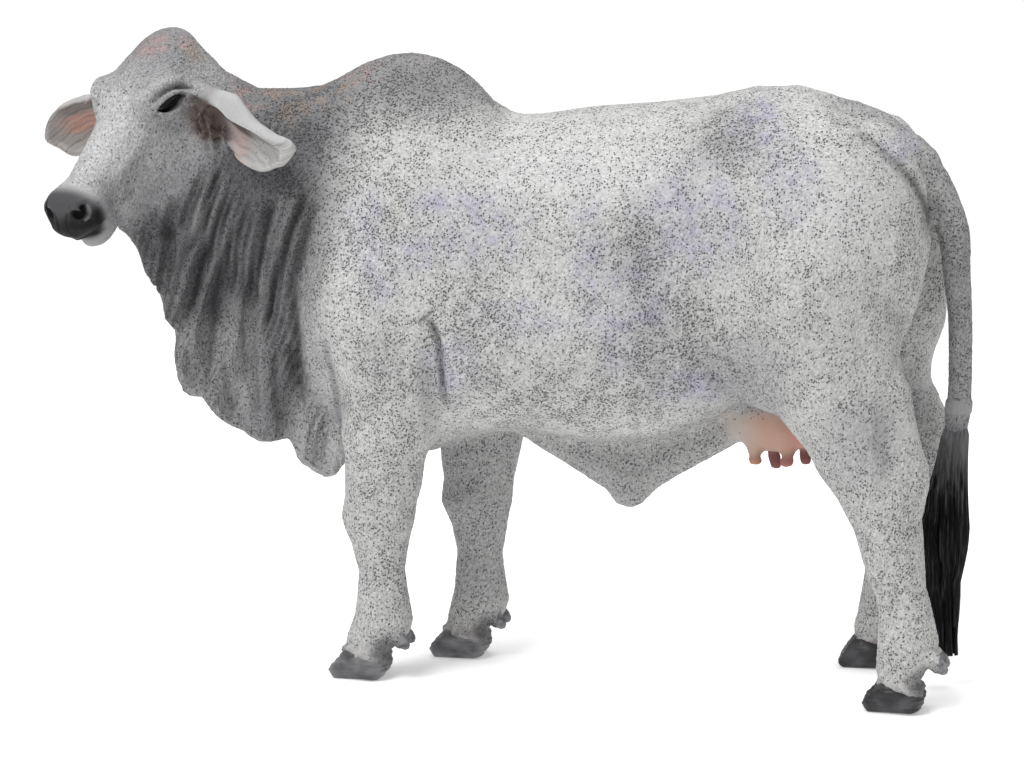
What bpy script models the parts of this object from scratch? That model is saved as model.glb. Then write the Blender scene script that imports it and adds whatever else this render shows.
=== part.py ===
"""A moulded toy figure of a standing grey Brahman cow, with her head turned to her left.

The figure is sculpted as clay: named masses are blended on a grid of distances, the grid's zero
level becomes one mesh, and thin saw cuts part that mesh where a person would name its parts. The
ears, eyes, tail, switch and dewclaws are pieces of their own, set into pockets in the body.

Sizes are millimetres in the figure's own frame: the cow faces -X, her left side is -Y, her middle
plane is y = 0 and her soles stand on z = 0. Finished pieces are scaled to metres by MM and moved
together, so that the middle of the figure's footprint box is the origin.
"""
from math import cos, pi, radians, sin

import bmesh
import bpy
import numpy as np
from mathutils import Matrix, Vector
from mathutils.bvhtree import BVHTree

MM = 0.001
GAP = 0.3                      # saw cut, and clearance of a piece in its pocket
BODY_CELL = 0.62               # grid spacing of the clay for the body
HEAD_CELL = 0.42               # and for the head
EAR_CELL = 0.40                # and for the thin ears
UDDER_CELL = 0.45              # and for the udder
BODY_TRIANGLES = 5600
HEAD_TRIANGLES = 2800
EAR_TRIANGLES = 420
UDDER_TRIANGLES = 520
FAR = 60.0                     # distance that stands for empty space
TOUCHING = 0.002               # points nearer than this lie on one another
SOLE_DEPTH = 0.3               # points of a claw lower than this belong to its flat sole

LEFT, RIGHT = -1, 1            # sign of y on the cow's own left and right side

# Head: where it sits and how it is turned. Its own axes are along (to the muzzle), rise (out of
# the forehead) and side (to the cow's left).
HEAD_CENTRE = (-56.8, -11.0, 85.6)
HEAD_YAW = radians(61)         # turned from straight ahead to the cow's left
HEAD_PITCH = radians(41)       # muzzle below the poll
EYE_RADIUS = 2.5
EYE_PLACE = (0.1, 2.9, 5.45)
EYE_WIDTH = 2.8                # half the opening between the lids' corners
EYE_SLANT = radians(28)        # front corner raised towards the face
EAR_REACH = 8.6                # half the length of the leaf
EAR_WIDTH = 4.5                # half its width
EAR_FACING = (0.95, 0.35)      # where the cup opens, in the head's along and rise
# Each ear's root, middle and tip on the head's own axes, side measured outwards.
EARS = {
    LEFT: ((-4.4, 0.0, 6.2), (-3.4, -1.6, 14.6), (-1.2, -5.6, 25.2)),
    RIGHT: ((-4.4, 0.0, 6.2), (-3.2, -2.6, 14.0), (-1.0, -7.5, 25.2)),
}

# Trunk stations: x, top z, bottom z, half width.
TRUNK = (
    (-31.0, 79.0, 44.0, 8.5),
    (-24.0, 84.5, 34.5, 12.0),
    (-16.0, 86.0, 33.6, 14.6),
    (-8.0, 85.7, 36.6, 16.2),
    (0.0, 85.6, 37.6, 17.2),
    (10.0, 87.0, 36.4, 18.2),
    (20.0, 87.9, 37.2, 18.4),
    (28.0, 89.0, 40.0, 17.4),
    (35.0, 90.5, 43.5, 16.0),
    (42.0, 89.8, 47.0, 14.4),
    (49.0, 87.0, 52.0, 11.5),
    (55.0, 82.0, 59.0, 7.5),
    (58.5, 76.0, 66.0, 3.0),
)
TRUNK_BELT = 0.44              # height of the widest level, as a share of the depth

# Legs: x, y offset outwards, z and radius down each leg, y measured from the middle plane.
FORELEG_LEFT = (
    (-18.5, 10.6, 47.0, 7.6), (-20.3, 9.6, 38.0, 6.2), (-20.8, 8.9, 31.0, 5.4),
    (-21.5, 8.6, 25.0, 4.9), (-21.4, 8.4, 20.0, 3.6), (-21.1, 8.3, 13.5, 3.3),
    (-20.9, 8.3, 9.2, 3.9), (-23.4, 8.3, 5.4, 3.5),
)
FORELEG_RIGHT = (
    (-7.5, 10.2, 46.0, 7.4), (-8.8, 8.8, 36.0, 6.0), (-9.2, 8.2, 31.0, 5.4),
    (-9.3, 7.8, 25.0, 4.8), (-9.0, 7.7, 20.0, 3.6), (-9.0, 7.6, 13.5, 3.3),
    (-8.8, 7.6, 9.2, 3.8), (-11.0, 7.6, 5.4, 3.4),
)
HINDLEG_LEFT = (
    (47.0, 11.4, 53.5, 10.2), (49.0, 13.0, 46.0, 8.5), (51.8, 14.2, 39.0, 6.8),
    (55.0, 14.6, 32.0, 5.6), (56.4, 14.7, 25.5, 4.3), (57.2, 14.7, 21.0, 3.8),
    (58.7, 14.7, 15.0, 3.4), (59.2, 14.7, 10.4, 4.0), (58.0, 14.7, 5.8, 3.6),
)
HINDLEG_RIGHT = (
    (49.0, 11.0, 54.5, 10.8), (52.0, 12.0, 46.5, 8.8), (54.8, 12.4, 39.5, 6.8),
    (56.0, 12.4, 33.5, 5.4), (55.4, 12.2, 26.5, 4.2), (54.9, 12.1, 21.0, 3.8),
    (54.2, 12.1, 15.0, 3.4), (54.2, 12.1, 10.4, 3.9), (52.2, 12.1, 5.8, 3.5),
)
LEG_FLATNESS = 0.92
SOLE_LENGTH = 9.4
CLAW_HALF_WIDTH = 2.15
CLAW_HEIGHT = 4.3              # coronet above the floor, at the front of the claw

# Each foot: the name of its leg, side, middle of the sole in x, and that leg's stations.
FEET = (
    ("foreleg_left", LEFT, -24.8, FORELEG_LEFT),
    ("foreleg_right", RIGHT, -12.3, FORELEG_RIGHT),
    ("hindleg_left", LEFT, 57.1, HINDLEG_LEFT),
    ("hindleg_right", RIGHT, 50.8, HINDLEG_RIGHT),
)

# Saw cut round the top of each leg: x and z of an arch, and how far its flat wall stands from the
# middle plane.
FORELEG_ARCH = ((-10.5, -3.0), (-8.5, 9.0), (-7.0, 30.0), (-9.0, 44.0), (-5.0, 55.0), (2.5, 59.0),
                (10.0, 55.0), (11.5, 44.0), (7.0, 30.0), (8.5, 9.0), (10.0, -3.0))
HINDLEG_ARCH = ((-6.5, -3.0), (-6.5, 14.0), (-8.0, 25.0), (-12.0, 37.0), (-18.0, 49.0),
                (-20.5, 60.0), (-16.0, 71.0), (-6.0, 75.5), (4.0, 72.0), (9.0, 62.0),
                (11.0, 40.0), (12.0, -3.0))
# Other saw lines, x and z: before the hump, along the top of the dewlap and over the navel flap;
# and round the skull, ahead of and above the head's centre, along a line turned by HEAD_SAW_YAW.
TORSO_SAW = ((-34.0, 98.0), (-34.2, 88.0), (-33.6, 76.0), (-32.6, 62.0), (-31.8, 50.0),
             (-30.8, 42.0), (-29.6, 36.0), (-28.8, 26.0))
DEWLAP_SAW = ((-70.0, 67.0), (-60.0, 67.6), (-54.0, 67.0), (-48.0, 65.0), (-42.5, 60.8),
              (-38.6, 55.8), (-36.0, 50.5), (-34.0, 45.0), (-32.2, 40.6), (-29.6, 36.8))
FLAP_SAW = ((-5.0, 36.4), (1.0, 36.2), (8.0, 35.3), (16.0, 35.3), (24.0, 37.2), (28.0, 38.8),
            (31.2, 40.4))
HEAD_SAW = ((30.0, -25.0), (20.0, -22.2), (12.0, -20.2), (4.0, -15.6), (-3.0, -10.2), (-8.0, -4.0),
            (-10.8, 4.0), (-12.2, 12.0), (-13.0, 22.0))
HEAD_SAW_YAW = radians(35)
HUMP_SHELL = ((-17.6, 0.0, 95.2), (16.6, 12.5, 11.6))
FORELEG_WALL = 2.3
HINDLEG_WALL = 5.2

# Udder: middle and radii, and the top of each teat.
UDDER = (37.8, 0.0, 41.6)
UDDER_RADII = (8.8, 6.4, 6.3)
TEATS = ((34.6, -3.0, 38.4), (39.6, -2.6, 38.6), (36.6, 3.0, 38.4), (41.6, 2.6, 38.8))

# Tail and its switch: x, y, z and radius.
TAIL = (
    (44.5, 0.0, 86.6, 3.0), (48.4, 0.0, 85.9, 3.2), (52.2, 0.0, 84.0, 3.2), (56.0, 0.0, 80.8, 3.1),
    (59.4, 0.0, 76.6, 2.9), (62.0, 0.0, 71.6, 2.6), (63.8, 0.0, 66.0, 2.3), (64.8, 0.0, 59.0, 1.9),
    (65.1, 0.0, 52.0, 1.75), (65.1, 0.0, 43.9, 1.7),
)
SWITCH = (
    (65.1, 43.6, 1.65), (64.6, 38.5, 2.0), (64.0, 33.0, 2.55), (63.5, 28.0, 3.1),
    (63.2, 23.0, 3.55), (63.2, 18.0, 3.1), (63.3, 13.0, 2.5), (63.6, 8.5, 1.9), (63.5, 5.2, 0.8),
)
SWITCH_FLATNESS = 0.72
SWITCH_LOCKS = 9

# Dewlap: its lobed lower edge and the line along the throat and neck that it hangs from.
DEWLAP_EDGE = (
    (-59.6, -13.4, 69.0), (-57.4, -12.2, 63.8), (-55.4, -10.8, 58.6), (-53.6, -9.6, 55.4),
    (-52.0, -8.4, 52.0), (-52.2, -7.6, 48.4), (-51.9, -6.6, 43.4), (-48.2, -5.6, 42.6),
    (-46.9, -4.8, 39.2), (-43.2, -3.8, 37.2), (-39.4, -2.8, 35.6), (-36.9, -2.2, 36.8),
    (-34.4, -1.4, 32.2), (-31.4, -0.6, 30.0), (-29.0, 0.0, 32.2),
)
DEWLAP_ROOT = (
    (-59.6, -13.4, 71.5), (-56.6, -12.6, 70.5), (-54.0, -11.6, 70.0), (-51.4, -10.4, 69.6),
    (-48.6, -9.0, 69.0), (-46.2, -7.6, 68.2), (-44.0, -6.2, 67.0), (-41.6, -5.0, 65.6),
    (-39.4, -4.0, 63.6), (-37.4, -3.0, 61.0), (-35.4, -2.2, 57.8), (-33.6, -1.4, 54.0),
    (-31.8, -0.8, 49.6), (-29.6, -0.3, 45.0), (-27.4, 0.0, 41.0),
)
DEWLAP_STRANDS = 46
DEWLAP_FOLDS = 7.0
DEWLAP_SWAY = 1.5
DEWLAP_THICKNESS = (1.9, 1.15)   # radius at the root and at the edge

COLOURS = {                      # sRGB colour and roughness of each paint
    "coat": ("C4C4C6", 0.55),
    "dark_coat": ("77777A", 0.55),
    "hoof_paint": ("474548", 0.40),
    "eye_gloss": ("0C0B0C", 0.08),
    "udder_paint": ("D3A597", 0.50),
    "switch_paint": ("1D1C1E", 0.45),
}


class HeadFrame:
    """The head's own axes, turned by its yaw and pitch."""

    def __init__(self, centre, yaw, pitch):
        self.centre = np.array(centre)
        ahead = np.array((-cos(yaw), -sin(yaw), 0.0))
        upward = np.array((0.0, 0.0, 1.0))
        self.along = cos(pitch) * ahead - sin(pitch) * upward
        self.rise = sin(pitch) * ahead + cos(pitch) * upward
        self.side = np.array((sin(yaw), -cos(yaw), 0.0))
        self.axes = np.array((self.along, self.rise, self.side))

    def at(self, along, rise, side):
        """Return the point of the figure at a place on the head."""
        return self.centre + np.array((along, rise, side)) @ self.axes


HEAD = HeadFrame(HEAD_CENTRE, HEAD_YAW, HEAD_PITCH)


class Ball:
    """An ellipsoid, with its own axes as rows of a matrix."""

    def __init__(self, centre, radii, axes=np.eye(3)):
        self.centre = np.array(centre, dtype=float)
        self.radii = np.array(radii, dtype=float)
        self.axes = axes

    def box(self):
        reach = max(self.radii)
        return self.centre - reach, self.centre + reach

    def distance(self, x, y, z):
        apart = (x - self.centre[0], y - self.centre[1], z - self.centre[2])
        scaled = steeper = 0.0
        for axis, radius in zip(self.axes, self.radii):
            part = apart[0] * axis[0] + apart[1] * axis[1] + apart[2] * axis[2]
            scaled = scaled + (part / radius) ** 2
            steeper = steeper + (part / radius ** 2) ** 2
        scaled = np.sqrt(scaled)
        return scaled * (scaled - 1.0) / np.maximum(np.sqrt(steeper), 1e-6)


class Rod:
    """A round rod between two balls, made thinner along one direction where flatness is under 1."""

    def __init__(self, start, end, start_radius, end_radius, thin=(0.0, 1.0, 0.0), flatness=1.0):
        self.start = np.array(start, dtype=float)
        self.end = np.array(end, dtype=float)
        self.radii = (start_radius, end_radius)
        self.thin = np.array(thin, dtype=float)
        self.flatness = flatness

    def box(self):
        reach = max(self.radii)
        return np.minimum(self.start, self.end) - reach, np.maximum(self.start, self.end) + reach

    def distance(self, x, y, z):
        run = self.end - self.start
        length = max(float(run @ run), 1e-9)
        apart = (x - self.start[0], y - self.start[1], z - self.start[2])
        share = (apart[0] * run[0] + apart[1] * run[1] + apart[2] * run[2]) / length
        share = np.clip(share, 0.0, 1.0)
        off = [apart[i] - share * run[i] for i in range(3)]
        square = off[0] ** 2 + off[1] ** 2 + off[2] ** 2
        if self.flatness < 1.0:
            across = off[0] * self.thin[0] + off[1] * self.thin[1] + off[2] * self.thin[2]
            square = square + across ** 2 * (self.flatness ** -2 - 1.0)
        near = np.sqrt(square) - (self.radii[0] + share * (self.radii[1] - self.radii[0]))
        return near * self.flatness


class Trunk:
    """The barrel from chest to rump: sections along x, each a rounded oval."""

    ROUNDNESS = 2.25

    def __init__(self, stations, belt):
        self.stations = np.array(stations)
        self.belt = belt

    def box(self):
        low = (self.stations[0, 0] - 1, -max(self.stations[:, 3]), min(self.stations[:, 2]))
        high = (self.stations[-1, 0] + 1, max(self.stations[:, 3]), max(self.stations[:, 1]))
        return np.array(low), np.array(high)

    def distance(self, x, y, z):
        places = self.stations[:, 0]
        top, bottom, width = (smooth_curve(places, self.stations[:, k], x) for k in (1, 2, 3))
        middle = bottom + self.belt * (top - bottom)
        tall = np.where(z > middle, top - middle, middle - bottom)
        oval = (np.abs(y) / width) ** self.ROUNDNESS + (np.abs(z - middle) / tall) ** self.ROUNDNESS
        near = (oval ** (1.0 / self.ROUNDNESS) - 1.0) * np.minimum(width, tall)
        beyond = np.maximum(places[0] - x, x - places[-1])
        return np.maximum(near, beyond)


class Slab:
    """All that lies on one side of a plane."""

    def __init__(self, point, outward):
        self.point = np.array(point, dtype=float)
        self.outward = np.array(outward, dtype=float)

    def distance(self, x, y, z):
        return ((x - self.point[0]) * self.outward[0] + (y - self.point[1]) * self.outward[1]
                + (z - self.point[2]) * self.outward[2])


class Clay:
    """A grid of distances to the sculpted surface, negative inside."""

    MARGIN = 5.0

    def __init__(self, low, high, cell):
        self.low = np.array(low, dtype=float)
        self.cell = cell
        self.counts = np.ceil((np.array(high) - self.low) / cell).astype(int) + 1
        self.field = np.full(self.counts, FAR, dtype=np.float32)

    def window(self, box):
        """Return the grid's slices near a box, and the coordinates there."""
        first = np.floor((box[0] - self.MARGIN - self.low) / self.cell).astype(int)
        last = np.ceil((box[1] + self.MARGIN - self.low) / self.cell).astype(int)
        first, last = np.clip(first, 0, self.counts), np.clip(last, 0, self.counts)
        places = [self.low[i] + self.cell * np.arange(first[i], last[i]) for i in range(3)]
        slices = tuple(slice(first[i], last[i]) for i in range(3))
        return slices, np.meshgrid(*places, indexing="ij", sparse=True)

    def add(self, mass, blend):
        """Press a mass on, with a fillet of about the blend's width."""
        slices, places = self.window(mass.box())
        if min(part.stop - part.start for part in slices) > 0:
            self.field[slices] = smooth_least(self.field[slices], mass.distance(*places), blend)

    def carve(self, mass, blend):
        """Press a hollow of the mass's shape in, with rounded rims."""
        slices, places = self.window(mass.box())
        if min(part.stop - part.start for part in slices) > 0:
            self.field[slices] = -smooth_least(-self.field[slices], mass.distance(*places), blend)

    def trim(self, slab):
        """Cut away all that lies outside a plane."""
        places = [self.low[i] + self.cell * np.arange(self.counts[i]) for i in range(3)]
        grid = np.meshgrid(*places, indexing="ij", sparse=True)
        self.field = np.maximum(self.field, slab.distance(*grid))

    def mesh(self, name):
        """Return the surface as a mesh: one point in each cell that it crosses."""
        field = np.pad(self.field[1:-1, 1:-1, 1:-1], 1, constant_values=self.cell)
        inside = field < 0.0
        corners = [(i, j, k) for i in (0, 1) for j in (0, 1) for k in (0, 1)]
        filled = sum(self.shifted(inside, corner).astype(np.int8) for corner in corners)
        cells = np.argwhere((filled > 0) & (filled < 8))
        number = np.full(filled.shape, -1, dtype=np.int64)
        number[tuple(cells.T)] = np.arange(len(cells))
        total = np.zeros((len(cells), 3))
        crossings = np.zeros((len(cells), 1))
        for corner in corners:
            for axis in range(3):
                if corner[axis]:
                    continue
                step = np.eye(3, dtype=int)[axis]
                near = field[tuple((cells + corner).T)].astype(float)
                far = field[tuple((cells + corner + step).T)].astype(float)
                crossed = ((near < 0) != (far < 0))[:, None]
                share = (near / np.where(near == far, 1.0, near - far))[:, None]
                total += crossed * (np.array(corner) + share * step)
                crossings += crossed
        points = self.low + self.cell * (cells + total / crossings)
        faces = []
        for axis in range(3):
            across, beyond = (axis + 1) % 3, (axis + 2) % 3
            step = np.eye(3, dtype=int)
            edge_from = self.inner(inside, np.zeros(3, dtype=int), axis)
            edge_to = self.inner(inside, step[axis], axis)
            for going_out in (True, False):
                edges = np.argwhere(edge_from & ~edge_to if going_out else ~edge_from & edge_to)
                edges[:, across] += 1
                edges[:, beyond] += 1
                ring = [edges, edges - step[across], edges - step[across] - step[beyond],
                        edges - step[beyond]]
                if not going_out:
                    ring.reverse()
                faces.append(np.stack([number[tuple(cell.T)] for cell in ring], axis=1))
        mesh = bpy.data.meshes.new(name)
        mesh.from_pydata(points.tolist(), [], np.concatenate(faces).tolist())
        return mesh

    @staticmethod
    def shifted(values, corner):
        """Return each cell's value at one of its corners."""
        return values[tuple(slice(c, values.shape[i] - 1 + c) for i, c in enumerate(corner))]

    @staticmethod
    def inner(values, step, axis):
        """Return values at one end of every grid edge along an axis that has four cells round it."""
        slices = [slice(1, size - 1) for size in values.shape]
        slices[axis] = slice(step[axis], values.shape[axis] - 1 + step[axis])
        return values[tuple(slices)]


def smooth_least(first, second, blend):
    """Return the smaller of two distances, rounded where they are within the blend."""
    share = np.maximum(blend - np.abs(first - second), 0.0) / blend
    return np.minimum(first, second) - share * share * blend * 0.25


def smooth_curve(places, values, x):
    """Read a smooth curve through values at places, at any x."""
    slopes = np.gradient(values, places)
    spot = np.clip(np.searchsorted(places, x) - 1, 0, len(places) - 2)
    width = places[spot + 1] - places[spot]
    share = np.clip((x - places[spot]) / width, 0.0, 1.0)
    return ((2 * share ** 3 - 3 * share ** 2 + 1) * values[spot]
            + (share ** 3 - 2 * share ** 2 + share) * width * slopes[spot]
            + (3 * share ** 2 - 2 * share ** 3) * values[spot + 1]
            + (share ** 3 - share ** 2) * width * slopes[spot + 1])


def along_path(points, share):
    """Return the point at a share, 0 to 1, of the way along a smooth path."""
    points = np.array(points, dtype=float)
    places = np.arange(len(points), dtype=float)
    spot = np.array([share * (len(points) - 1)])
    return np.array([smooth_curve(places, points[:, k], spot)[0] for k in range(points.shape[1])])


def chain(clay, points, blend, flatness=1.0, thin=(0.0, 1.0, 0.0)):
    """Add rods through a list of points, each x, y, z and radius."""
    for start, end in zip(points, points[1:]):
        clay.add(Rod(start[:3], end[:3], start[3], end[3], thin, flatness), blend)


def leg_points(stations, side):
    """Return a leg's stations with y on its own side."""
    return [(x, side * y, z, radius) for x, y, z, radius in stations]


def shape_trunk(clay):
    """Barrel, chest, shoulders, hips, thighs and the hollows between them."""
    clay.add(Trunk(TRUNK, TRUNK_BELT), 1.0)
    clay.add(Ball((-24, 0, 54), (10.5, 11.0, 18.0)), 6.0)
    for side in (LEFT, RIGHT):
        clay.add(Rod((-11, side * 7.0, 80), (-23, side * 10.5, 60), 6.5, 8.0, flatness=0.75), 5.0)
        clay.add(Ball((-14, side * 10.0, 58), (10.0, 6.6, 13.0)), 5.0)
        clay.add(Ball((-23, side * 9.5, 55), (7.5, 6.5, 9.5)), 4.0)
        clay.add(Ball((31.5, side * 10.5, 81.5), (6.0, 4.0, 4.6)), 5.0)
        clay.add(Ball((44.5, side * 9.5, 70.0), (14.0, 8.6, 17.5)), 5.0)
        clay.add(Rod((42.0, side * 10.8, 63), (45.5, side * 11.8, 51), 10.5, 9.4), 4.0)
        clay.add(Ball((54.0, side * 6.4, 69.0), (6.4, 5.4, 16.5)), 4.0)
        clay.add(Rod((34.0, side * 11.0, 60.0), (37.5, side * 10.0, 47.0), 3.2, 2.4), 6.0)
        clay.carve(Ball((27.0, side * 19.5, 68.0), (7.0, 3.6, 12.0)), 5.0)
        clay.carve(Ball((-2.0, side * 21.0, 64.0), (3.6, 4.2, 14.0)), 5.0)


def shape_hump(clay):
    """The fat hump over the shoulders."""
    clay.add(Ball((-18.2, 0, 84.6), (11.9, 6.4, 10.0)), 4.6)
    clay.add(Ball((-24.0, 0, 83.0), (9.0, 6.0, 7.5)), 4.0)


def shape_neck(clay):
    """The deep neck, bending to the cow's left, with wrinkles behind the jaw."""
    spine = ((-22.0, 0.0, 70.0, 16.0), (-32.0, -0.8, 73.2, 14.2), (-40.0, -3.4, 76.0, 11.8),
             (-46.5, -6.8, 78.6, 9.5), (-51.5, -9.2, 81.0, 8.0))
    chain(clay, spine, 4.0, flatness=0.72)
    chain(clay, ((-54.0, -11.0, 74.0, 5.2), (-47.0, -7.5, 72.0, 6.6), (-36.0, -2.5, 64.0, 8.0),
                 (-28.0, 0.0, 52.0, 8.6)), 4.0,
          flatness=0.75)


def dewlap_point(share, down):
    """Return a point and radius of the dewlap, by shares along it and down it."""
    root = along_path(DEWLAP_ROOT, share)
    point = root + (along_path(DEWLAP_EDGE, share) - root) * down
    wave = sin(2 * pi * DEWLAP_FOLDS * share + 1.3 * sin(5.0 * share))
    radius = DEWLAP_THICKNESS[0] + (DEWLAP_THICKNESS[1] - DEWLAP_THICKNESS[0]) * down
    sway = DEWLAP_SWAY * wave * (0.35 + 0.65 * down)
    return point[0], point[1] + sway, point[2], radius * (1.0 + 0.12 * wave)


def shape_dewlap(clay):
    """The dewlap: a hanging sheet of skin in folds, thinner to its lobed edge."""
    levels = 5
    for strand in range(DEWLAP_STRANDS):
        share = strand / (DEWLAP_STRANDS - 1)
        chain(clay, [dewlap_point(share, level / (levels - 1)) for level in range(levels)], 0.9)


def shape_belly(clay):
    """The flap of skin at the navel: a thin fan below the belly."""
    for spread in range(7):
        share = spread / 6
        root = (-0.2 + 31.2 * share, 0, 38.8 + 1.5 * sin(pi * share))
        clay.add(Rod((15.4, 0, 28.7), root, 1.8, 2.6), 1.8)


def udder_clay():
    """The udder with its four teats, a piece of its own."""
    clay = Clay((24, -12, 28), (52, 12, 52), UDDER_CELL)
    clay.add(Ball(UDDER, UDDER_RADII), 1.0)
    for x, y, top in TEATS:
        clay.add(Rod((x, y, top), (x + 0.4, y, top - 4.8), 1.35, 0.85), 1.2)
    return clay


def shape_legs(clay):
    """Four legs with knees or hocks, fetlocks and the swell of the coronet."""
    for name, side, sole, stations in FEET:
        chain(clay, leg_points(stations, side), 2.2, flatness=LEG_FLATNESS)
        if name.startswith("fore"):
            x, y, z, radius = stations[3]
            clay.add(Ball((x - 0.7, side * y, z), (4.5, 4.3, 3.6)), 2.0)
        else:
            x, y, z, radius = stations[3]
            clay.add(Ball((x + 4.0, side * y, z + 2.4), (2.4, 2.3, 3.6)), 2.6)
            clay.add(Rod((x + 4.2, side * y, z + 4), (x + 1.5, side * y, z + 15), 1.9, 2.4), 2.6)
            clay.carve(Ball((x + 1.8, side * (y + 5.2), z + 10.0), (1.6, 1.6, 6.5)), 2.5)
        for outward in (-1, 1):
            shape_claw(clay, sole, side * stations[-1][1], outward)


def shape_claw(clay, sole, y, outward):
    """One of a foot's two claws: a wedge, highest at the coronet and pointed at the toe."""
    heel = (sole + 0.26 * SOLE_LENGTH, y + outward * CLAW_HALF_WIDTH * 0.98, 2.1)
    toe = (sole - 0.33 * SOLE_LENGTH, y + outward * CLAW_HALF_WIDTH * 0.80, 1.0)
    brow = (sole - 0.02 * SOLE_LENGTH, y + outward * CLAW_HALF_WIDTH * 0.95, 3.4)
    clay.add(Rod(heel, toe, 2.25, 1.35), 0.8)
    clay.add(Rod(heel, brow, 2.15, 2.10), 0.8)
    clay.add(Rod(brow, toe, 2.0, 1.3), 0.8)


def shape_head(clay):
    """The skull, jaw and muzzle, with brows, lids, nostrils and the line of the mouth."""
    def ball(along, rise, side, radii):
        return Ball(HEAD.at(along, rise, side), radii, HEAD.axes)

    def rod(start, end, start_radius, end_radius, flatness=1.0):
        return Rod(HEAD.at(*start), HEAD.at(*end), start_radius, end_radius, HEAD.side, flatness)

    clay.add(ball(-3.5, 0.5, 0, (9.0, 6.8, 6.9)), 3.0)
    clay.add(ball(-9.6, 2.6, 0, (5.0, 4.2, 5.0)), 2.5)
    clay.add(ball(-4.5, 3.2, 0, (7.5, 3.4, 5.3)), 2.5)
    clay.add(Rod(HEAD.at(-8.0, -0.6, 0.6), (-45.0, -6.6, 80.6), 5.0, 7.6), 2.5)
    clay.add(rod((2.0, -0.5, 0), (16.5, -0.5, 0), 5.8, 3.9), 2.0)
    clay.add(rod((-4.0, -6.5, 0), (12.0, -3.6, 0), 5.2, 3.4), 2.0)
    for side in (LEFT, RIGHT):
        clay.add(ball(-0.2, 4.3, -side * 5.0, (4.4, 2.4, 2.6)), 2.0)
        clay.add(ball(1.0, -3.6, -side * 4.0, (6.8, 5.4, 2.9)), 2.5)
        clay.add(rod((-3.0, -7.6, -side * 3.6), (13.0, -4.6, -side * 1.9), 3.1, 2.5), 1.8)
        clay.add(ball(19.9, 0.5, -side * 2.7, (2.6, 2.3, 2.3)), 1.6)
        clay.add(rod((-3.6, 0.6, -side * 4.0), (-4.2, 0.0, -side * 5.2), 3.4, 3.0), 2.0)
    clay.add(ball(18.9, -0.7, 0, (4.0, 4.0, 4.8)), 1.8)
    clay.add(ball(17.2, -5.1, 0, (3.8, 2.1, 3.3)), 1.2)
    for side in (LEFT, RIGHT):
        shape_eye(clay, side, ball, rod)
        clay.carve(ball(21.7, 1.0, -side * 2.8, (1.4, 0.9, 1.2)), 0.8)
        clay.carve(ball(20.9, 0.0, -side * 3.7, (1.2, 0.5, 0.8)), 0.8)
        mouth = ((12.0, -3.2, 4.0), (15.8, -3.4, 4.5), (19.6, -3.2, 4.4), (22.3, -2.8, 2.4),
                 (22.9, -2.6, 0.0))
        for start, end in zip(mouth, mouth[1:]):
            start, end = (start[0], start[1], -side * start[2]), (end[0], end[1], -side * end[2])
            clay.carve(rod(start, end, 0.5, 0.5), 0.6)


def shape_eye(clay, side, ball, rod):
    """A socket, with the upper and lower lid as thin ridges round the eye."""
    along, rise, out = EYE_PLACE
    clay.add(ball(along, rise, -side * (out - 0.8), (3.7, 2.8, 2.1)), 1.2)
    steps = 8
    for high, drop in ((1.0, 1.55), (-1.0, 1.25)):
        rim = []
        for step in range(steps + 1):
            turn = pi * step / steps
            across, up = -EYE_WIDTH * cos(turn), high * drop * sin(turn)
            rim.append((along + across * cos(EYE_SLANT) - up * sin(EYE_SLANT),
                        rise + across * sin(EYE_SLANT) + up * cos(EYE_SLANT),
                        -side * (out + 1.5 + 0.95 * sin(turn))))
        for start, end in zip(rim, rim[1:]):
            clay.add(rod(start, end, 0.55, 0.55), 0.6)


def sculpt(low, high, cell):
    """Return the clay of the whole figure inside a box."""
    clay = Clay(low, high, cell)
    shape_trunk(clay)
    shape_hump(clay)
    shape_neck(clay)
    shape_legs(clay)
    shape_belly(clay)
    shape_dewlap(clay)
    shape_head(clay)
    clay.trim(Slab((0, 0, 0), (0, 0, -1)))
    return clay


def ear_clay(side):
    """A drooping leaf of skin, cupped to the front, with its root on the head."""
    root, middle, tip = (HEAD.at(along, rise, -side * out) for along, rise, out in EARS[side])
    clay = Clay(np.minimum(root, tip) - 9, np.maximum(root, tip) + 9, EAR_CELL)
    out = (tip - root) / np.linalg.norm(tip - root)
    front = HEAD.along * EAR_FACING[0] + HEAD.rise * EAR_FACING[1]
    front = front - (front @ out) * out
    front = front / np.linalg.norm(front)
    width = np.cross(out, front)
    axes = np.array((out, width, front))
    centre = 0.38 * root + 0.62 * tip
    clay.add(Ball(centre, (EAR_REACH, EAR_WIDTH, 2.7), axes), 1.0)
    clay.add(Rod(root, middle, 2.9, 2.5, front, 0.85), 2.0)
    clay.add(Rod(middle, tip, 2.0, 0.7, front, 0.8), 1.6)
    clay.carve(Ball(centre + 1.9 * front - 0.4 * out, (EAR_REACH - 1.3, EAR_WIDTH - 1.0, 2.7),
                    axes), 0.7)
    return clay


def grown(mesh_object, amount):
    """Push every point of a mesh out along its normal."""
    mesh = mesh_object.data
    normals = np.zeros(len(mesh.vertices) * 3)
    mesh.vertices.foreach_get("normal", normals)
    points = np.zeros(len(mesh.vertices) * 3)
    mesh.vertices.foreach_get("co", points)
    mesh.vertices.foreach_set("co", points + amount * normals)
    mesh.update()


def add_object(name, mesh, collection):
    """Return a new object of a mesh, in a collection."""
    piece = bpy.data.objects.new(name, mesh)
    collection.objects.link(piece)
    return piece


def settle(piece):
    """Replace an object's mesh with what its modifiers make of it."""
    graph = bpy.context.evaluated_depsgraph_get()
    mesh = bpy.data.meshes.new_from_object(piece.evaluated_get(graph))
    piece.modifiers.clear()
    piece.data = mesh


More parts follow.
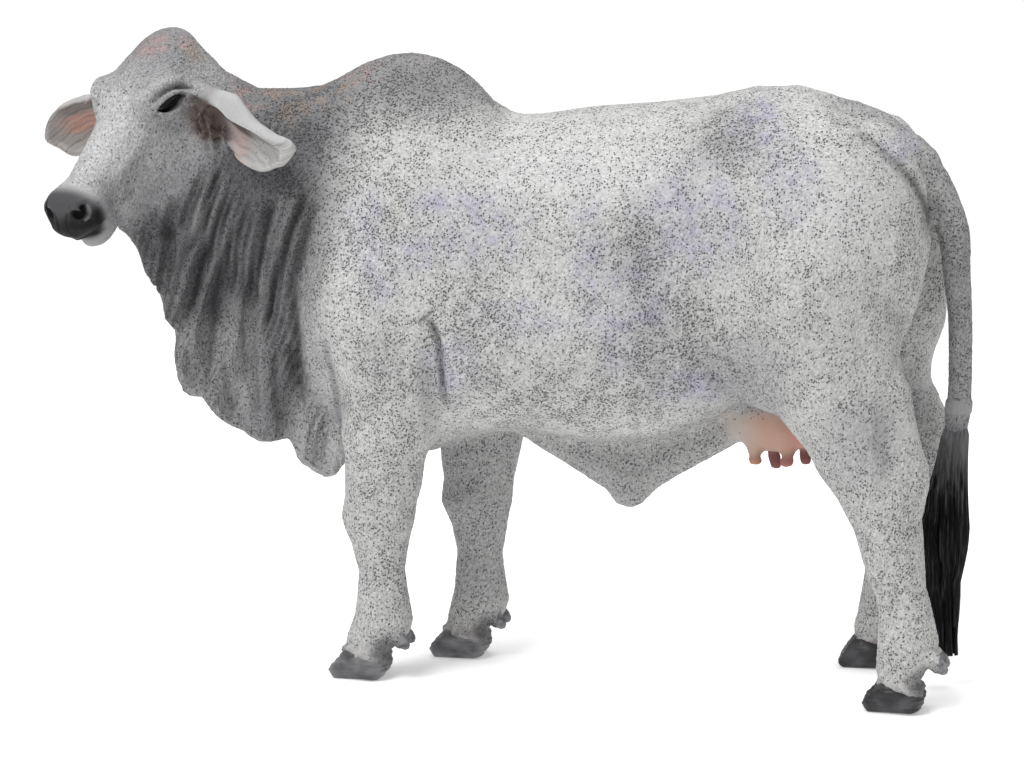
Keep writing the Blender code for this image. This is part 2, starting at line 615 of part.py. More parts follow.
def decimate(piece, triangles):
    """Thin a mesh out to about a number of triangles."""
    sides = np.zeros(len(piece.data.polygons), dtype=int)
    piece.data.polygons.foreach_get("loop_total", sides)
    modifier = piece.modifiers.new("Thin out", "DECIMATE")
    modifier.ratio = triangles / float((sides - 2).sum())
    settle(piece)


def boolean(target, cutter, operation="DIFFERENCE"):
    """Cut a piece with a closed cutter and remove the cutter."""
    modifier = target.modifiers.new("Cut", "BOOLEAN")
    modifier.operation = operation
    modifier.solver = "MANIFOLD"
    modifier.object = cutter
    settle(target)
    bpy.data.objects.remove(cutter)


def mesh_from(build, name, collection):
    """Return an object of what a function builds in a bmesh."""
    model = bmesh.new()
    build(model)
    bmesh.ops.recalc_face_normals(model, faces=model.faces)
    mesh = bpy.data.meshes.new(name)
    model.to_mesh(mesh)
    model.free()
    return add_object(name, mesh, collection)


def facing(point, direction):
    """Return the matrix that puts the z axis along a direction at a point."""
    turn = Vector(direction).to_track_quat("Z", "Y").to_matrix().to_4x4()
    return Matrix.Translation(Vector(point)) @ turn


def disc_cut(point, direction, radius, collection, thickness=GAP):
    """A saw cut across a neck, tail or leg."""
    def build(model):
        bmesh.ops.create_cone(model, cap_ends=True, segments=24, radius1=radius, radius2=radius,
                              depth=thickness, matrix=facing(point, direction))
    return mesh_from(build, "disc_cut", collection)


def shell_cut(centre, radii, collection):
    """A saw cut over an ellipsoid: the gap between two shells."""
    def build(model):
        for grow, flip in ((0.5 * GAP, False), (-0.5 * GAP, True)):
            size = Matrix.Diagonal([radius + grow for radius in radii] + [1.0])
            made = bmesh.ops.create_uvsphere(model, u_segments=24, v_segments=14, radius=1.0,
                                             matrix=Matrix.Translation(Vector(centre)) @ size)
            if flip:
                faces = {face for vertex in made["verts"] for face in vertex.link_faces}
                bmesh.ops.reverse_faces(model, faces=list(faces))
    model = bmesh.new()
    build(model)
    mesh = bpy.data.meshes.new("shell_cut")
    model.to_mesh(mesh)
    model.free()
    return add_object("shell_cut", mesh, collection)


def ribbon_cut(outline, low_y, high_y, collection, closed_wall=None, place=None):
    """A saw cut along an outline in x and z, run across in y, with a flat wall at one end of it.

    A matrix puts the cut elsewhere.
    """
    steps = 3 * (len(outline) - 1)
    points = [along_path(outline, step / steps) for step in range(steps + 1)]
    model = bmesh.new()
    near = [model.verts.new((x, low_y, z)) for x, z in points]
    far = [model.verts.new((x, high_y, z)) for x, z in points]
    for step in range(steps):
        model.faces.new((near[step], near[step + 1], far[step + 1], far[step]))
    if closed_wall is not None:
        model.faces.new(near if closed_wall == low_y else far)
    if place is not None:
        bmesh.ops.transform(model, matrix=place, verts=model.verts)
    bmesh.ops.recalc_face_normals(model, faces=model.faces)
    mesh = bpy.data.meshes.new("ribbon_cut")
    model.to_mesh(mesh)
    model.free()
    piece = add_object("ribbon_cut", mesh, collection)
    modifier = piece.modifiers.new("Saw width", "SOLIDIFY")
    modifier.thickness = GAP
    modifier.offset = 0.0
    modifier.use_even_offset = True
    settle(piece)
    return piece


def ball_cutter(centre, radius, collection):
    """A round ball with even facets."""
    def build(model):
        bmesh.ops.create_icosphere(model, subdivisions=3, radius=radius,
                                   matrix=Matrix.Translation(Vector(centre)))
    return mesh_from(build, "ball", collection)


def tube(name, points, collection, grow=0.0, ring=10, flatness=1.0):
    """A tapered tube through points, each x, y, z and radius, with rounded ends."""
    steps = 2 * (len(points) - 1)
    path = [along_path(points, step / steps) for step in range(steps + 1)]
    model = bmesh.new()
    rings = []
    for step, (x, y, z, radius) in enumerate(path):
        before, after = path[max(step - 1, 0)], path[min(step + 1, steps)]
        run = Vector(after[:3]) - Vector(before[:3])
        matrix = facing((x, y, z), run)
        circle = []
        for spoke in range(ring):
            turn = 2 * pi * spoke / ring
            offset = Vector(((radius + grow) * cos(turn), (radius + grow) * sin(turn), 0.0))
            circle.append(model.verts.new(matrix @ offset))
        rings.append(circle)
    for first, second in zip(rings, rings[1:]):
        for spoke in range(ring):
            after = (spoke + 1) % ring
            model.faces.new((first[spoke], first[after], second[after], second[spoke]))
    for circle, way in ((rings[0], -1), (rings[-1], 1)):
        middle = sum((vertex.co for vertex in circle), Vector()) / ring
        end = path[0] if way < 0 else path[-1]
        inner = path[1] if way < 0 else path[-2]
        run = (Vector(end[:3]) - Vector(inner[:3])).normalized()
        pole = model.verts.new(middle + run * grow)
        for spoke in range(ring):
            model.faces.new((circle[spoke], circle[(spoke + 1) % ring], pole))
    bmesh.ops.recalc_face_normals(model, faces=model.faces)
    mesh = bpy.data.meshes.new(name)
    model.to_mesh(mesh)
    model.free()
    return add_object(name, mesh, collection)


def switch_mesh(collection):
    """The tail's switch: one lock of hair, grooved from end to end, twisting a little."""
    steps = 22
    ring = 4 * SWITCH_LOCKS
    model = bmesh.new()
    rings = []
    for step in range(steps + 1):
        share = step / steps
        x, z, radius = along_path(SWITCH, share)
        circle = []
        for spoke in range(ring):
            turn = 2 * pi * spoke / ring
            groove = 0.5 + 0.5 * cos(SWITCH_LOCKS * turn + 2.2 * share)
            depth = 0.20 * min(1.0, 4.0 * share) * (1.0 + 0.4 * sin(3 * turn + 5.0 * share))
            reach = radius * (1.0 - depth * (1.0 - groove))
            circle.append(model.verts.new((x + reach * cos(turn),
                                           reach * SWITCH_FLATNESS * sin(turn), z)))
        rings.append(circle)
    for first, second in zip(rings, rings[1:]):
        for spoke in range(ring):
            after = (spoke + 1) % ring
            model.faces.new((first[spoke], second[spoke], second[after], first[after]))
    model.faces.new(rings[0])
    model.faces.new(list(reversed(rings[-1])))
    bmesh.ops.recalc_face_normals(model, faces=model.faces)
    mesh = bpy.data.meshes.new("tail_switch")
    model.to_mesh(mesh)
    model.free()
    piece = add_object("tail_switch", mesh, collection)
    decimate(piece, 900)
    return piece


def dewclaw_places():
    """Yield each dewclaw's name, its two ends and its size."""
    for name, side, sole, stations in FEET:
        x, y, z, radius = stations[-2]
        for outward, label in ((1, "outer"), (-1, "inner")):
            offset = outward * side * 1.9
            reach = 0.0 if name.startswith("hind") else -1.6
            base = (x + 0.72 * radius + reach, side * y + offset, z - 1.5)
            tip = (x + radius + 1.3 + reach, side * y + 1.15 * offset, z - 3.6)
            yield name + "_dewclaw_" + label, base, tip


def dewclaw(name, base, tip, collection, grow=0.0):
    """One dewclaw: a short blunt cone behind the fetlock."""
    run = Vector(tip) - Vector(base)
    middle = (Vector(tip) + Vector(base)) * 0.5

    def build(model):
        made = bmesh.ops.create_uvsphere(model, u_segments=8, v_segments=6, radius=1.0)
        size = Matrix.Diagonal((1.15 + grow, 1.25 + grow, 0.5 * run.length + 0.9 + grow, 1.0))
        bmesh.ops.transform(model, verts=made["verts"], matrix=facing(middle, run) @ size)
    return mesh_from(build, name, collection)


def keep_largest(piece):
    """Keep only a piece's largest closed surface."""
    loose = islands(piece)
    if len(loose) > 1:
        keep_faces(piece, max(loose, key=len))


def islands(piece):
    """Return the sets of face numbers that hang together."""
    model = bmesh.new()
    model.from_mesh(piece.data)
    found, seen = [], set()
    for face in model.faces:
        if face.index in seen:
            continue
        stack, group = [face], set()
        seen.add(face.index)
        while stack:
            current = stack.pop()
            group.add(current.index)
            for edge in current.edges:
                for other in edge.link_faces:
                    if other.index not in seen:
                        seen.add(other.index)
                        stack.append(other)
        found.append(group)
    model.free()
    return found


def keep_faces(piece, numbers):
    """Delete all of a piece's faces but those numbered."""
    model = bmesh.new()
    model.from_mesh(piece.data)
    model.faces.ensure_lookup_table()
    unwanted = [face for face in model.faces if face.index not in numbers]
    bmesh.ops.delete(model, geom=unwanted, context="FACES")
    mesh = bpy.data.meshes.new(piece.name)
    model.to_mesh(mesh)
    model.free()
    piece.data = mesh


def holds(tree, point):
    """Return whether a point is inside the closed surface of a tree."""
    way = Vector((0.013, 0.021, 1.0)).normalized()
    start, crossings = Vector(point), 0
    while True:
        hit = tree.ray_cast(start, way)[0]
        if hit is None:
            return crossings % 2 == 1
        crossings += 1
        start = hit + way * 1e-4


def part_figure(body, seeds, collection):
    """Turn a sawn body's loose islands into named pieces, each found by a point inside it."""
    pieces = {}
    for group in islands(body):
        island = add_object("island", body.data.copy(), collection)
        keep_faces(island, group)
        tree = BVHTree.FromPolygons([vertex.co for vertex in island.data.vertices],
                                    [tuple(face.vertices) for face in island.data.polygons])
        for name, seed in seeds.items():
            if name not in pieces and holds(tree, seed):
                pieces[name] = island
                island.name = name
                break
        else:
            bpy.data.objects.remove(island)
    missing = set(seeds) - set(pieces)
    if missing:
        raise ValueError("no piece was found for " + ", ".join(sorted(missing)))
    bpy.data.objects.remove(body)
    return pieces


def leg_arch(name, sole_shift):
    """Return a leg's saw outline, moved to that leg."""
    outline = FORELEG_ARCH if name.startswith("fore") else HINDLEG_ARCH
    return [(x + sole_shift, z) for x, z in outline]


def saw_legs(body, collection):
    """Cut the four legs off at the shoulder or hip, and each foot into its two claws."""
    for name, side, sole, stations in FEET:
        fore = name.startswith("fore")
        wall = side * (FORELEG_WALL if fore else HINDLEG_WALL)
        shift = stations[3][0] + 0.4 if fore else stations[-4][0] - 0.6
        low, high = sorted((wall, side * 30.0))
        boolean(body, ribbon_cut(leg_arch(name, shift), low, high, collection, closed_wall=wall))
        y = side * stations[-1][1]
        boolean(body, disc_cut((sole, y, CLAW_HEIGHT), (0.15, 0, 1), 7.0, collection))

        def cleft(model):
            slot = Matrix.Translation((sole, y, 1.3)) @ Matrix.Diagonal((16.0, 0.45, 8.6, 1.0))
            bmesh.ops.create_cube(model, size=1.0, matrix=slot)
        boolean(body, mesh_from(cleft, "cleft", collection))


def seeds_of_claws():
    """Return a point inside each claw."""
    seeds = {}
    for name, side, sole, stations in FEET:
        for outward, label in ((1, "outer"), (-1, "inner")):
            y = side * (stations[-1][1] + outward * CLAW_HALF_WIDTH)
            seeds[name + "_claw_" + label] = (sole + 0.5, y, 1.6)
    return seeds


def material(name):
    """Return the paint of a name, made once."""
    if name in bpy.data.materials:
        return bpy.data.materials[name]
    code, roughness = COLOURS[name]
    linear = [(int(code[i:i + 2], 16) / 255.0) ** 2.2 for i in (0, 2, 4)]
    paint = bpy.data.materials.new(name)
    paint.use_nodes = True
    shader = paint.node_tree.nodes["Principled BSDF"]
    shader.inputs["Base Color"].default_value = (*linear, 1.0)
    shader.inputs["Roughness"].default_value = roughness
    return paint


def paint_of(name):
    """Return the name of the paint on a node."""
    if "claw" in name:
        return "hoof_paint"
    for part, paint in (("eye", "eye_gloss"), ("switch", "switch_paint"), ("udder", "udder_paint"),
                        ("dewlap", "dark_coat"), ("neck", "dark_coat")):
        if part in name:
            return paint
    return "coat"


def part_touching_walls(piece):
    """Draw points that lie on one another, where two walls of a piece touch, into their own wall."""
    places = {}
    for vertex in piece.data.vertices:
        key = tuple(round(value / TOUCHING) for value in vertex.co)
        places.setdefault(key, []).append(vertex)
    for shared in places.values():
        if len(shared) > 1:
            for vertex in shared:
                vertex.co -= vertex.normal * 20 * TOUCHING


def level_sole(piece):
    """Set the points of a claw's sole on the floor."""
    for vertex in piece.data.vertices:
        if vertex.co.z < SOLE_DEPTH:
            vertex.co.z = 0.0


def finish(pieces):
    """Scale every piece to metres, stand the figure on the origin and paint it."""
    for piece in pieces:
        part_touching_walls(piece)
        if "_claw_" in piece.name:
            level_sole(piece)
        piece.data.transform(Matrix.Scale(MM, 4))
    corners = np.array([tuple(vertex.co) for piece in pieces for vertex in piece.data.vertices])
    low, high = corners.min(axis=0), corners.max(axis=0)
    shift = Vector((-(low[0] + high[0]) / 2, -(low[1] + high[1]) / 2, -low[2]))
    for piece in pieces:
        piece.data.transform(Matrix.Translation(shift))
        piece.data.name = piece.name
        piece.data.materials.clear()
        piece.data.materials.append(material(paint_of(piece.name)))
        piece.data.shade_smooth()
        piece.data.set_sharp_from_angle(angle=radians(50))


def head_saw(collection):
    """The saw cut under the jaw and up behind the poll."""
    ahead = (-cos(HEAD_SAW_YAW), -sin(HEAD_SAW_YAW), 0.0)
    across = (sin(HEAD_SAW_YAW), -cos(HEAD_SAW_YAW), 0.0)
    turned = Matrix((ahead, across, (0.0, 0.0, 1.0))).transposed().to_4x4()
    place = Matrix.Translation(Vector(HEAD.centre)) @ turned
    return ribbon_cut(HEAD_SAW, -30.0, 30.0, collection, place=place)


def cut_pocket(block, piece, collection):
    """Cut a pocket for a piece into a block, with room round the piece."""
    pocket = add_object("pocket", piece.data.copy(), collection)
    grown(pocket, GAP)
    boolean(block, pocket)


def make_ears(collection):
    """Return the two ears."""
    ears = []
    for side, label in ((LEFT, "left"), (RIGHT, "right")):
        ear = add_object("ear_" + label, ear_clay(side).mesh("ear"), collection)
        keep_largest(ear)
        decimate(ear, EAR_TRIANGLES)
        ears.append(ear)
    return ears


def make_head(ears, collection):
    """Return the head and its eyes."""
    clay = sculpt((-82, -34, 60), (-38, 7, 101), HEAD_CELL)
    block = add_object("head block", clay.mesh("head"), collection)
    keep_largest(block)
    decimate(block, HEAD_TRIANGLES)
    pieces = []
    for side, label in ((LEFT, "left"), (RIGHT, "right")):
        along, rise, out = EYE_PLACE
        eye = HEAD.at(along, rise, -side * out)
        boolean(block, ball_cutter(eye, EYE_RADIUS + GAP, collection))
        pieces.append(ball_cutter(eye, EYE_RADIUS, collection))
        pieces[-1].name = "eye_" + label
    for ear in ears:
        cut_pocket(block, ear, collection)
    boolean(block, head_saw(collection))
    pieces += part_figure(block, {"head": HEAD.at(0, 0, 0)}, collection).values()
    return pieces


def body_seeds():
    """Return a point inside each piece of the sawn body."""
    seeds = {
        "torso": (10.0, 0.0, 60.0),
        "hump": (-18.0, 0.0, 90.0),
        "neck": (-40.0, -3.4, 74.0),
        "dewlap": dewlap_point(0.4, 0.6)[:3],
        "navel_flap": (15.4, 0.0, 30.5),
    }
    for name, side, sole, stations in FEET:
        x, y, z, radius = stations[4]
        seeds[name] = (x, side * y, z)
    seeds.update(seeds_of_claws())
    return seeds


def make_body(ears, collection):
    """Return the sawn body, the udder, the tail and the dewclaws."""
    clay = sculpt((-82, -34, -1.5), (70, 27, 101), BODY_CELL)
    block = add_object("body block", clay.mesh("body"), collection)
    keep_largest(block)
    decimate(block, BODY_TRIANGLES)
    pieces = [tube("tail", TAIL, collection), switch_mesh(collection)]
    boolean(block, tube("tail pocket", TAIL, collection, grow=GAP))
    udder = add_object("udder", udder_clay().mesh("udder"), collection)
    decimate(udder, UDDER_TRIANGLES)
    pieces.append(udder)
    for piece in ears + [udder]:
        cut_pocket(block, piece, collection)
    for name, base, tip in dewclaw_places():
        boolean(block, dewclaw("dewclaw pocket", base, tip, collection, grow=GAP))
        pieces.append(dewclaw(name, base, tip, collection))
    saw_legs(block, collection)
    boolean(block, head_saw(collection))
    boolean(block, ribbon_cut(TORSO_SAW, -30.0, 30.0, collection))
    boolean(block, ribbon_cut(DEWLAP_SAW, -30.0, 30.0, collection))
    boolean(block, ribbon_cut(FLAP_SAW, -5.5, 5.5, collection))
    boolean(block, shell_cut(*HUMP_SHELL, collection))
    pieces += part_figure(block, body_seeds(), collection).values()
    return pieces


def main():
    for old in list(bpy.data.objects):
        bpy.data.objects.remove(old)
    figure = bpy.data.collections.new("brahman_cow_figure")
    bpy.context.scene.collection.children.link(figure)
    ears = make_ears(figure)
    finish(ears + make_head(ears, figure) + make_body(ears, figure))


if __name__ == "__main__":
    main()
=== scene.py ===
"""Looks of a moulded vinyl toy figure of a grey Brahman cow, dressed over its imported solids.

The figure is cast in one piece and painted by hand. One skin takes the place of the flesh: it is made
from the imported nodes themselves, sculpted with folds, lids, lips and ear ridges, and covered with low
cast grains of coat. Eyes, hooves, dewclaws and the tail's switch are pieces of their own.

Sizes are millimetres in the cow's own frame: she faces -x, her left side is -y, her middle plane is
y = 0 and her soles stand on z = 0. A finished piece is in metres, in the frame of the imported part.
"""
from __future__ import annotations

import logging
from dataclasses import dataclass
from enum import Enum
from math import cos, pi, radians, sin
from typing import Any, Callable, Iterable, Sequence

import bpy
import numpy as np
from bpy.types import ID, Material, Mesh, Node, NodeSocket, NodeTree, Object
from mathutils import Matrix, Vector
from mathutils.kdtree import KDTree


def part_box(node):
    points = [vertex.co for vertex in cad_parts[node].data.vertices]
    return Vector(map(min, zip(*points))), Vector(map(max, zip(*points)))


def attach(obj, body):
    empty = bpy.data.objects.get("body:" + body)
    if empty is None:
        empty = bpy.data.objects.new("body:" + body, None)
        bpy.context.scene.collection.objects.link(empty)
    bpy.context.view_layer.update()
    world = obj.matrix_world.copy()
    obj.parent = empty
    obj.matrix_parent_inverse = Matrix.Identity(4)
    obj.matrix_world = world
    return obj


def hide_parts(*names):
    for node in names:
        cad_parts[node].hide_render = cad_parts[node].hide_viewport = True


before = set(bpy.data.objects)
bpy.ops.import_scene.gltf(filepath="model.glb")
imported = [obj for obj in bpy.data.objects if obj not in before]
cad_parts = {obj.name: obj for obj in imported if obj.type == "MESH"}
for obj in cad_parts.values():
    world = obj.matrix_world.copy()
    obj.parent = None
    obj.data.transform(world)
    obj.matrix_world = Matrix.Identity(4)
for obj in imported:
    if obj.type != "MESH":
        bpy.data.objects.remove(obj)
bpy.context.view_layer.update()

LOG = logging.getLogger("brahman cow figure")
METRES = 0.001                  # of a millimetre
BODY = "root"
Array = np.ndarray
Source = Node | NodeSocket      # what feeds an input: a node stands for its first output
Point = tuple[float, float, float]


class Slot(Enum):
    """The material slots of the part's record."""

    LIGHT_COAT = "light_coat"
    DARK_COAT = "dark_coat"
    HOOF = "hoof_paint"
    EYE = "eye_gloss"
    UDDER = "udder_paint"
    SWITCH = "switch_paint"


@dataclass(frozen=True)
class Figure:
    """The cow's own frame, and the frame of her turned head.

    The head's axes are along (to the muzzle), rise (out of the forehead) and side (to her left).
    """

    shift: Array
    head_centre: Array
    head_axes: Array

    HEAD_PITCH = radians(41)
    HEAD_CENTRE = (-56.8, -11.0, 85.6)
    EYES_MIDDLE = (0.1, 2.9)       # of the line between the eyes, along and rise

    @classmethod
    def from_frame(cls) -> "Figure":
        """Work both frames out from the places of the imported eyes.

        Returns:
            The figure's frame.
        """
        left, right = (middle_of("eye_" + side) for side in ("left", "right"))
        side = (left - right) / np.linalg.norm(left - right)
        ahead = np.array((side[1], -side[0], 0.0))
        upward = np.array((0.0, 0.0, 1.0))
        along = cos(cls.HEAD_PITCH) * ahead - sin(cls.HEAD_PITCH) * upward
        rise = sin(cls.HEAD_PITCH) * ahead + cos(cls.HEAD_PITCH) * upward
        centre = (left + right) / 2 - cls.EYES_MIDDLE[0] * along - cls.EYES_MIDDLE[1] * rise
        shift = centre - np.array(cls.HEAD_CENTRE)
        shift[2] = 0.0
        return cls(shift, np.array(cls.HEAD_CENTRE), np.array((along, rise, side)))

    def on_head(self, points: Array) -> Array:
        """Return points of the figure on the head's axes."""
        return (points - self.head_centre) @ self.head_axes.T

    def at_head(self, along: float, rise: float, side: float) -> Array:
        """Return the figure's point at a place on the head."""
        return self.head_centre + np.array((along, rise, side)) @ self.head_axes


def middle_of(node: str) -> Array:
    """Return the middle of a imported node's box, in millimetres."""
    low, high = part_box(node)
    return (np.array(low) + np.array(high)) / 2 / METRES


def smooth(value: Array, low: float, high: float) -> Array:
    """Return 0 up to low and 1 from high on, with a soft step between. Low may lie above high."""
    share = np.clip((value - low) / (high - low), 0.0, 1.0)
    return share * share * (3.0 - 2.0 * share)


def ball(points: Array, centre: Sequence[float], radii: Sequence[float], soft: float = 0.4) -> Array:
    """Return a mask of an ellipsoid: 1 inside, 0 outside, and soft for a share of its radii between."""
    reach = np.sqrt((((points - np.array(centre)) / np.array(radii)) ** 2).sum(axis=1))
    return smooth(reach, 1.0 + soft, 1.0 - soft)


def path_distance(points: Array, path: Sequence[Sequence[float]]) -> tuple[Array, Array]:
    """Measure points against a bent line in as many dimensions as they have.

    Args:
        points: Points, one a row.
        path: The line's corners.

    Returns:
        The distance of each point to the line, and its place along it from 0 to 1.
    """
    corners = np.array(path, dtype=float)
    steps = np.linalg.norm(np.diff(corners, axis=0), axis=1)
    starts = np.concatenate([[0.0], np.cumsum(steps)])
    nearest = np.full(len(points), np.inf)
    place = np.zeros(len(points))
    for start, end, before, step in zip(corners, corners[1:], starts, steps):
        share = np.clip((points - start) @ (end - start) / step ** 2, 0.0, 1.0)
        apart = np.linalg.norm(points - start - share[:, None] * (end - start), axis=1)
        closer = apart < nearest
        nearest[closer] = apart[closer]
        place[closer] = (before + share[closer] * step) / starts[-1]
    return nearest, place


def curve_through(points: Sequence[Sequence[float]], steps: int) -> Array:
    """Return points on a smooth curve through a few given points.

    Args:
        points: The points that the curve passes, of any dimension.
        steps: The number of points wanted between two given ones.

    Returns:
        The curve's points, one a row.
    """
    given = np.array(points, dtype=float)
    padded = np.concatenate([[2 * given[0] - given[1]], given, [2 * given[-1] - given[-2]]])
    made = []
    for spot in range(len(given) - 1):
        before, start, end, after = padded[spot:spot + 4]
        for step in range(steps):
            t = step / steps
            made.append(0.5 * (2 * start + (end - before) * t
                               + (2 * before - 5 * start + 4 * end - after) * t * t
                               + (3 * start - before - 3 * end + after) * t ** 3))
    made.append(given[-1])
    return np.array(made)


def colour(code: str) -> tuple[float, float, float]:
    """Return the linear colour of an sRGB hex value."""
    parts = [int(code[i:i + 2], 16) / 255.0 for i in (0, 2, 4)]
    red, green, blue = (c / 12.92 if c <= 0.04045 else ((c + 0.055) / 1.055) ** 2.4 for c in parts)
    return red, green, blue


@dataclass
class Surface:
    """A mesh as arrays: its points in millimetres, and its faces of three or four corners."""

    points: Array
    faces: list[Array]

    LEVELS = 16                     # of weight that smoothing tells apart
    RUN = 6                         # steps of one smoothing modifier
    FACTORS = (1.10, -1.12)         # of a shrinking and a growing step

    @classmethod
    def of_node(cls, name: str, figure: Figure) -> "Surface":
        """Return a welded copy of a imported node's mesh.

        Args:
            name: The node.
            figure: The figure's frame.

        Returns:
            The copy, in the figure's frame.
        """
        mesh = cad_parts[name].data
        points = read(mesh.vertices, "co", 3) / METRES - figure.shift
        corners = np.zeros(len(mesh.loops), dtype=np.int64)
        mesh.loops.foreach_get("vertex_index", corners)
        keys, first, inverse = np.unique(points.round(3), axis=0, return_index=True,
                                         return_inverse=True)
        triangles = inverse.reshape(-1)[corners].reshape(-1, 3)
        whole = ((triangles[:, 0] != triangles[:, 1]) & (triangles[:, 1] != triangles[:, 2])
                 & (triangles[:, 2] != triangles[:, 0]))
        return cls(points[first], [triangles[whole]])

    @classmethod
    def of_mesh(cls, mesh: Mesh) -> "Surface":
        """Return the arrays of a mesh of triangles and quads.

        Args:
            mesh: The mesh.

        Returns:
            Its points and faces, in the mesh's own numbers.
        """
        corners = np.zeros(len(mesh.loops), dtype=np.int64)
        mesh.loops.foreach_get("vertex_index", corners)
        starts = read(mesh.polygons, "loop_start", 1).astype(np.int64).ravel()
        sizes = read(mesh.polygons, "loop_total", 1).astype(np.int64).ravel()
        faces = [corners[starts[sizes == size][:, None] + np.arange(size)] for size in (3, 4)]
        return cls(read(mesh.vertices, "co", 3), [group for group in faces if len(group)])

    def normals(self) -> Array:
        """Return each point's outward direction."""
        total = np.zeros_like(self.points)
        for group in self.faces:
            corners = self.points[group]
            last = corners[:, 3 if group.shape[1] == 4 else 2]
            across = np.cross(corners[:, 1] - last, corners[:, 2] - corners[:, 0])
            if group.shape[1] == 3:
                across = np.cross(corners[:, 1] - corners[:, 0], corners[:, 2] - corners[:, 0])
            for corner in range(group.shape[1]):
                for axis in range(3):
                    total[:, axis] += np.bincount(group[:, corner], across[:, axis],
                                                  len(self.points))
        return total / np.maximum(np.linalg.norm(total, axis=1, keepdims=True), 1e-9)

    def worked(self, add_modifiers: Callable[[Object], None],
               reader: Callable[[Mesh], Any],
               values: dict[str, Array] | None = None) -> Any:
        """Return what a reader finds in the surface's mesh as some modifiers leave it.

        Args:
            add_modifiers: Adds them to a working object.
            reader: Takes what is wanted from the new mesh.
            values: Vectors to store at the points first, by the attribute's name.

        Returns:
            What the reader returns.
        """
        item = new_item("clay", self.to_mesh("clay"))
        for name, vectors in (values or {}).items():
            store(item.data, name, "FLOAT_VECTOR", vectors)
        add_modifiers(item)
        made = baked(item)
        found = reader(made)
        bpy.data.meshes.remove(made)
        return found

    def relax(self, rounds: int, weight: Array | float) -> None:
        """Smooth the surface in Taubin's way: a few shrinking steps, then as many growing ones.

        Args:
            rounds: How many steps of each kind.
            weight: How much each point moves, from 0 to 1.
        """
        def add_modifiers(item: Object) -> None:
            """Add a pair of smoothing modifiers for every run of rounds."""
            group = item.vertex_groups.new(name="soft")
            levels = np.round(np.broadcast_to(weight, len(self.points)) * self.LEVELS).astype(int)
            for level in range(1, self.LEVELS + 1):
                group.add(np.nonzero(levels == level)[0].tolist(), level / self.LEVELS, "REPLACE")
            for start in range(0, rounds, self.RUN):
                for factor in self.FACTORS:
                    step = item.modifiers.new("Smooth", "SMOOTH")
                    step.factor = factor
                    step.iterations = min(self.RUN, rounds - start)
                    step.vertex_group = "soft"

        self.points = self.worked(add_modifiers, places_of)

    def blurred(self, values: Array, rounds: int) -> Array:
        """Return values of the points, each mixed with its neighbours'.

        Args:
            values: A vector of three values a point.
            rounds: How many times they are mixed.

        Returns:
            The mixed values.
        """
        def add_modifiers(item: Object) -> None:
            """Add a tree that blurs the stored vector."""
            tree = new_tree("blur", {})
            found = add_node(tree, "GeometryNodeInputNamedAttribute", {
                "data_type": "FLOAT_VECTOR", "Name": "values"})
            blur = add_node(tree, "GeometryNodeBlurAttribute", {
                "data_type": "FLOAT_VECTOR", "Iterations": rounds, "Value": found.outputs["Attribute"]})
            kept = add_node(tree, "GeometryNodeStoreNamedAttribute", {
                "data_type": "FLOAT_VECTOR", "domain": "POINT", "Name": "values",
                "Geometry": tree.nodes["Group Input"], "Value": blur})
            add_tree(item, tree, kept)

        return self.worked(add_modifiers, lambda made: read(made.attributes["values"].data, "vector", 3),
                           {"values": values})

    def push(self, amount: Array | float) -> None:
        """Move every point out along its normal by an amount in millimetres."""
        self.points = self.points + np.asarray(amount).reshape(-1, 1) * self.normals()

    def largest(self) -> "Surface":
        """Return only the largest part that hangs together."""
        def add_modifiers(item: Object) -> None:
            """Add a tree that stores the number of each point's part."""
            tree = new_tree("islands", {})
            island = add_node(tree, "GeometryNodeInputMeshIsland")
            kept = add_node(tree, "GeometryNodeStoreNamedAttribute", {
                "data_type": "INT", "domain": "POINT", "Name": "island",
                "Geometry": tree.nodes["Group Input"],
                "Value": island.outputs["Island Index"]})
            add_tree(item, tree, kept)

        label = self.worked(add_modifiers,
                            lambda made: read(made.attributes["island"].data, "value", 1).ravel())
        kept = label == np.bincount(label).argmax()
        number = np.cumsum(kept) - 1
        return Surface(self.points[kept], [number[group[kept[group[:, 0]]]] for group in self.faces])

    def to_mesh(self, name: str) -> Mesh:
        """Turn the surface into a mesh.

        Args:
            name: The new mesh's name.

        Returns:
            The mesh, with the surface's own numbers.
        """
        mesh = bpy.data.meshes.new(name)
        corners = np.concatenate([group.ravel() for group in self.faces]).astype(np.int32)
        sizes = np.concatenate([np.full(len(group), group.shape[1]) for group in self.faces])
        mesh.vertices.add(len(self.points))
        mesh.vertices.foreach_set("co", self.points.astype(np.float32).ravel())
        mesh.loops.add(len(corners))
        mesh.loops.foreach_set("vertex_index", corners)
        mesh.polygons.add(len(sizes))
        starts = np.concatenate([[0], np.cumsum(sizes)[:-1]]).astype(np.int32)
        mesh.polygons.foreach_set("loop_start", starts)
        mesh.update(calc_edges=True)
        return mesh

    def remeshed(self, cell: float) -> "Surface":
        """Return the hull of the surface as an even net of small quads.

        Args:
            cell: The net's spacing.

        Returns:
            The new surface.
        """
        def add_modifiers(item: Object) -> None:
            """Add the voxel remesh."""
            remesh = item.modifiers.new("Remesh", "REMESH")
            remesh.mode = "VOXEL"
            remesh.voxel_size = cell

        return self.worked(add_modifiers, Surface.of_mesh)


def read(items: Any, name: str, size: int) -> Array:
    """Read a number or vector of every item of a mesh.

    Args:
        items: The mesh's vertices or polygons, or an attribute's values.
        name: The property to read.
        size: How many numbers an item has. Three are read as reals, and one as a whole number.

    Returns:
        The values, an item a row.
    """
    values = np.zeros(len(items) * size, dtype=np.float64 if size == 3 else np.int32)
    items.foreach_get(name, values)
    return values.reshape(-1, size)


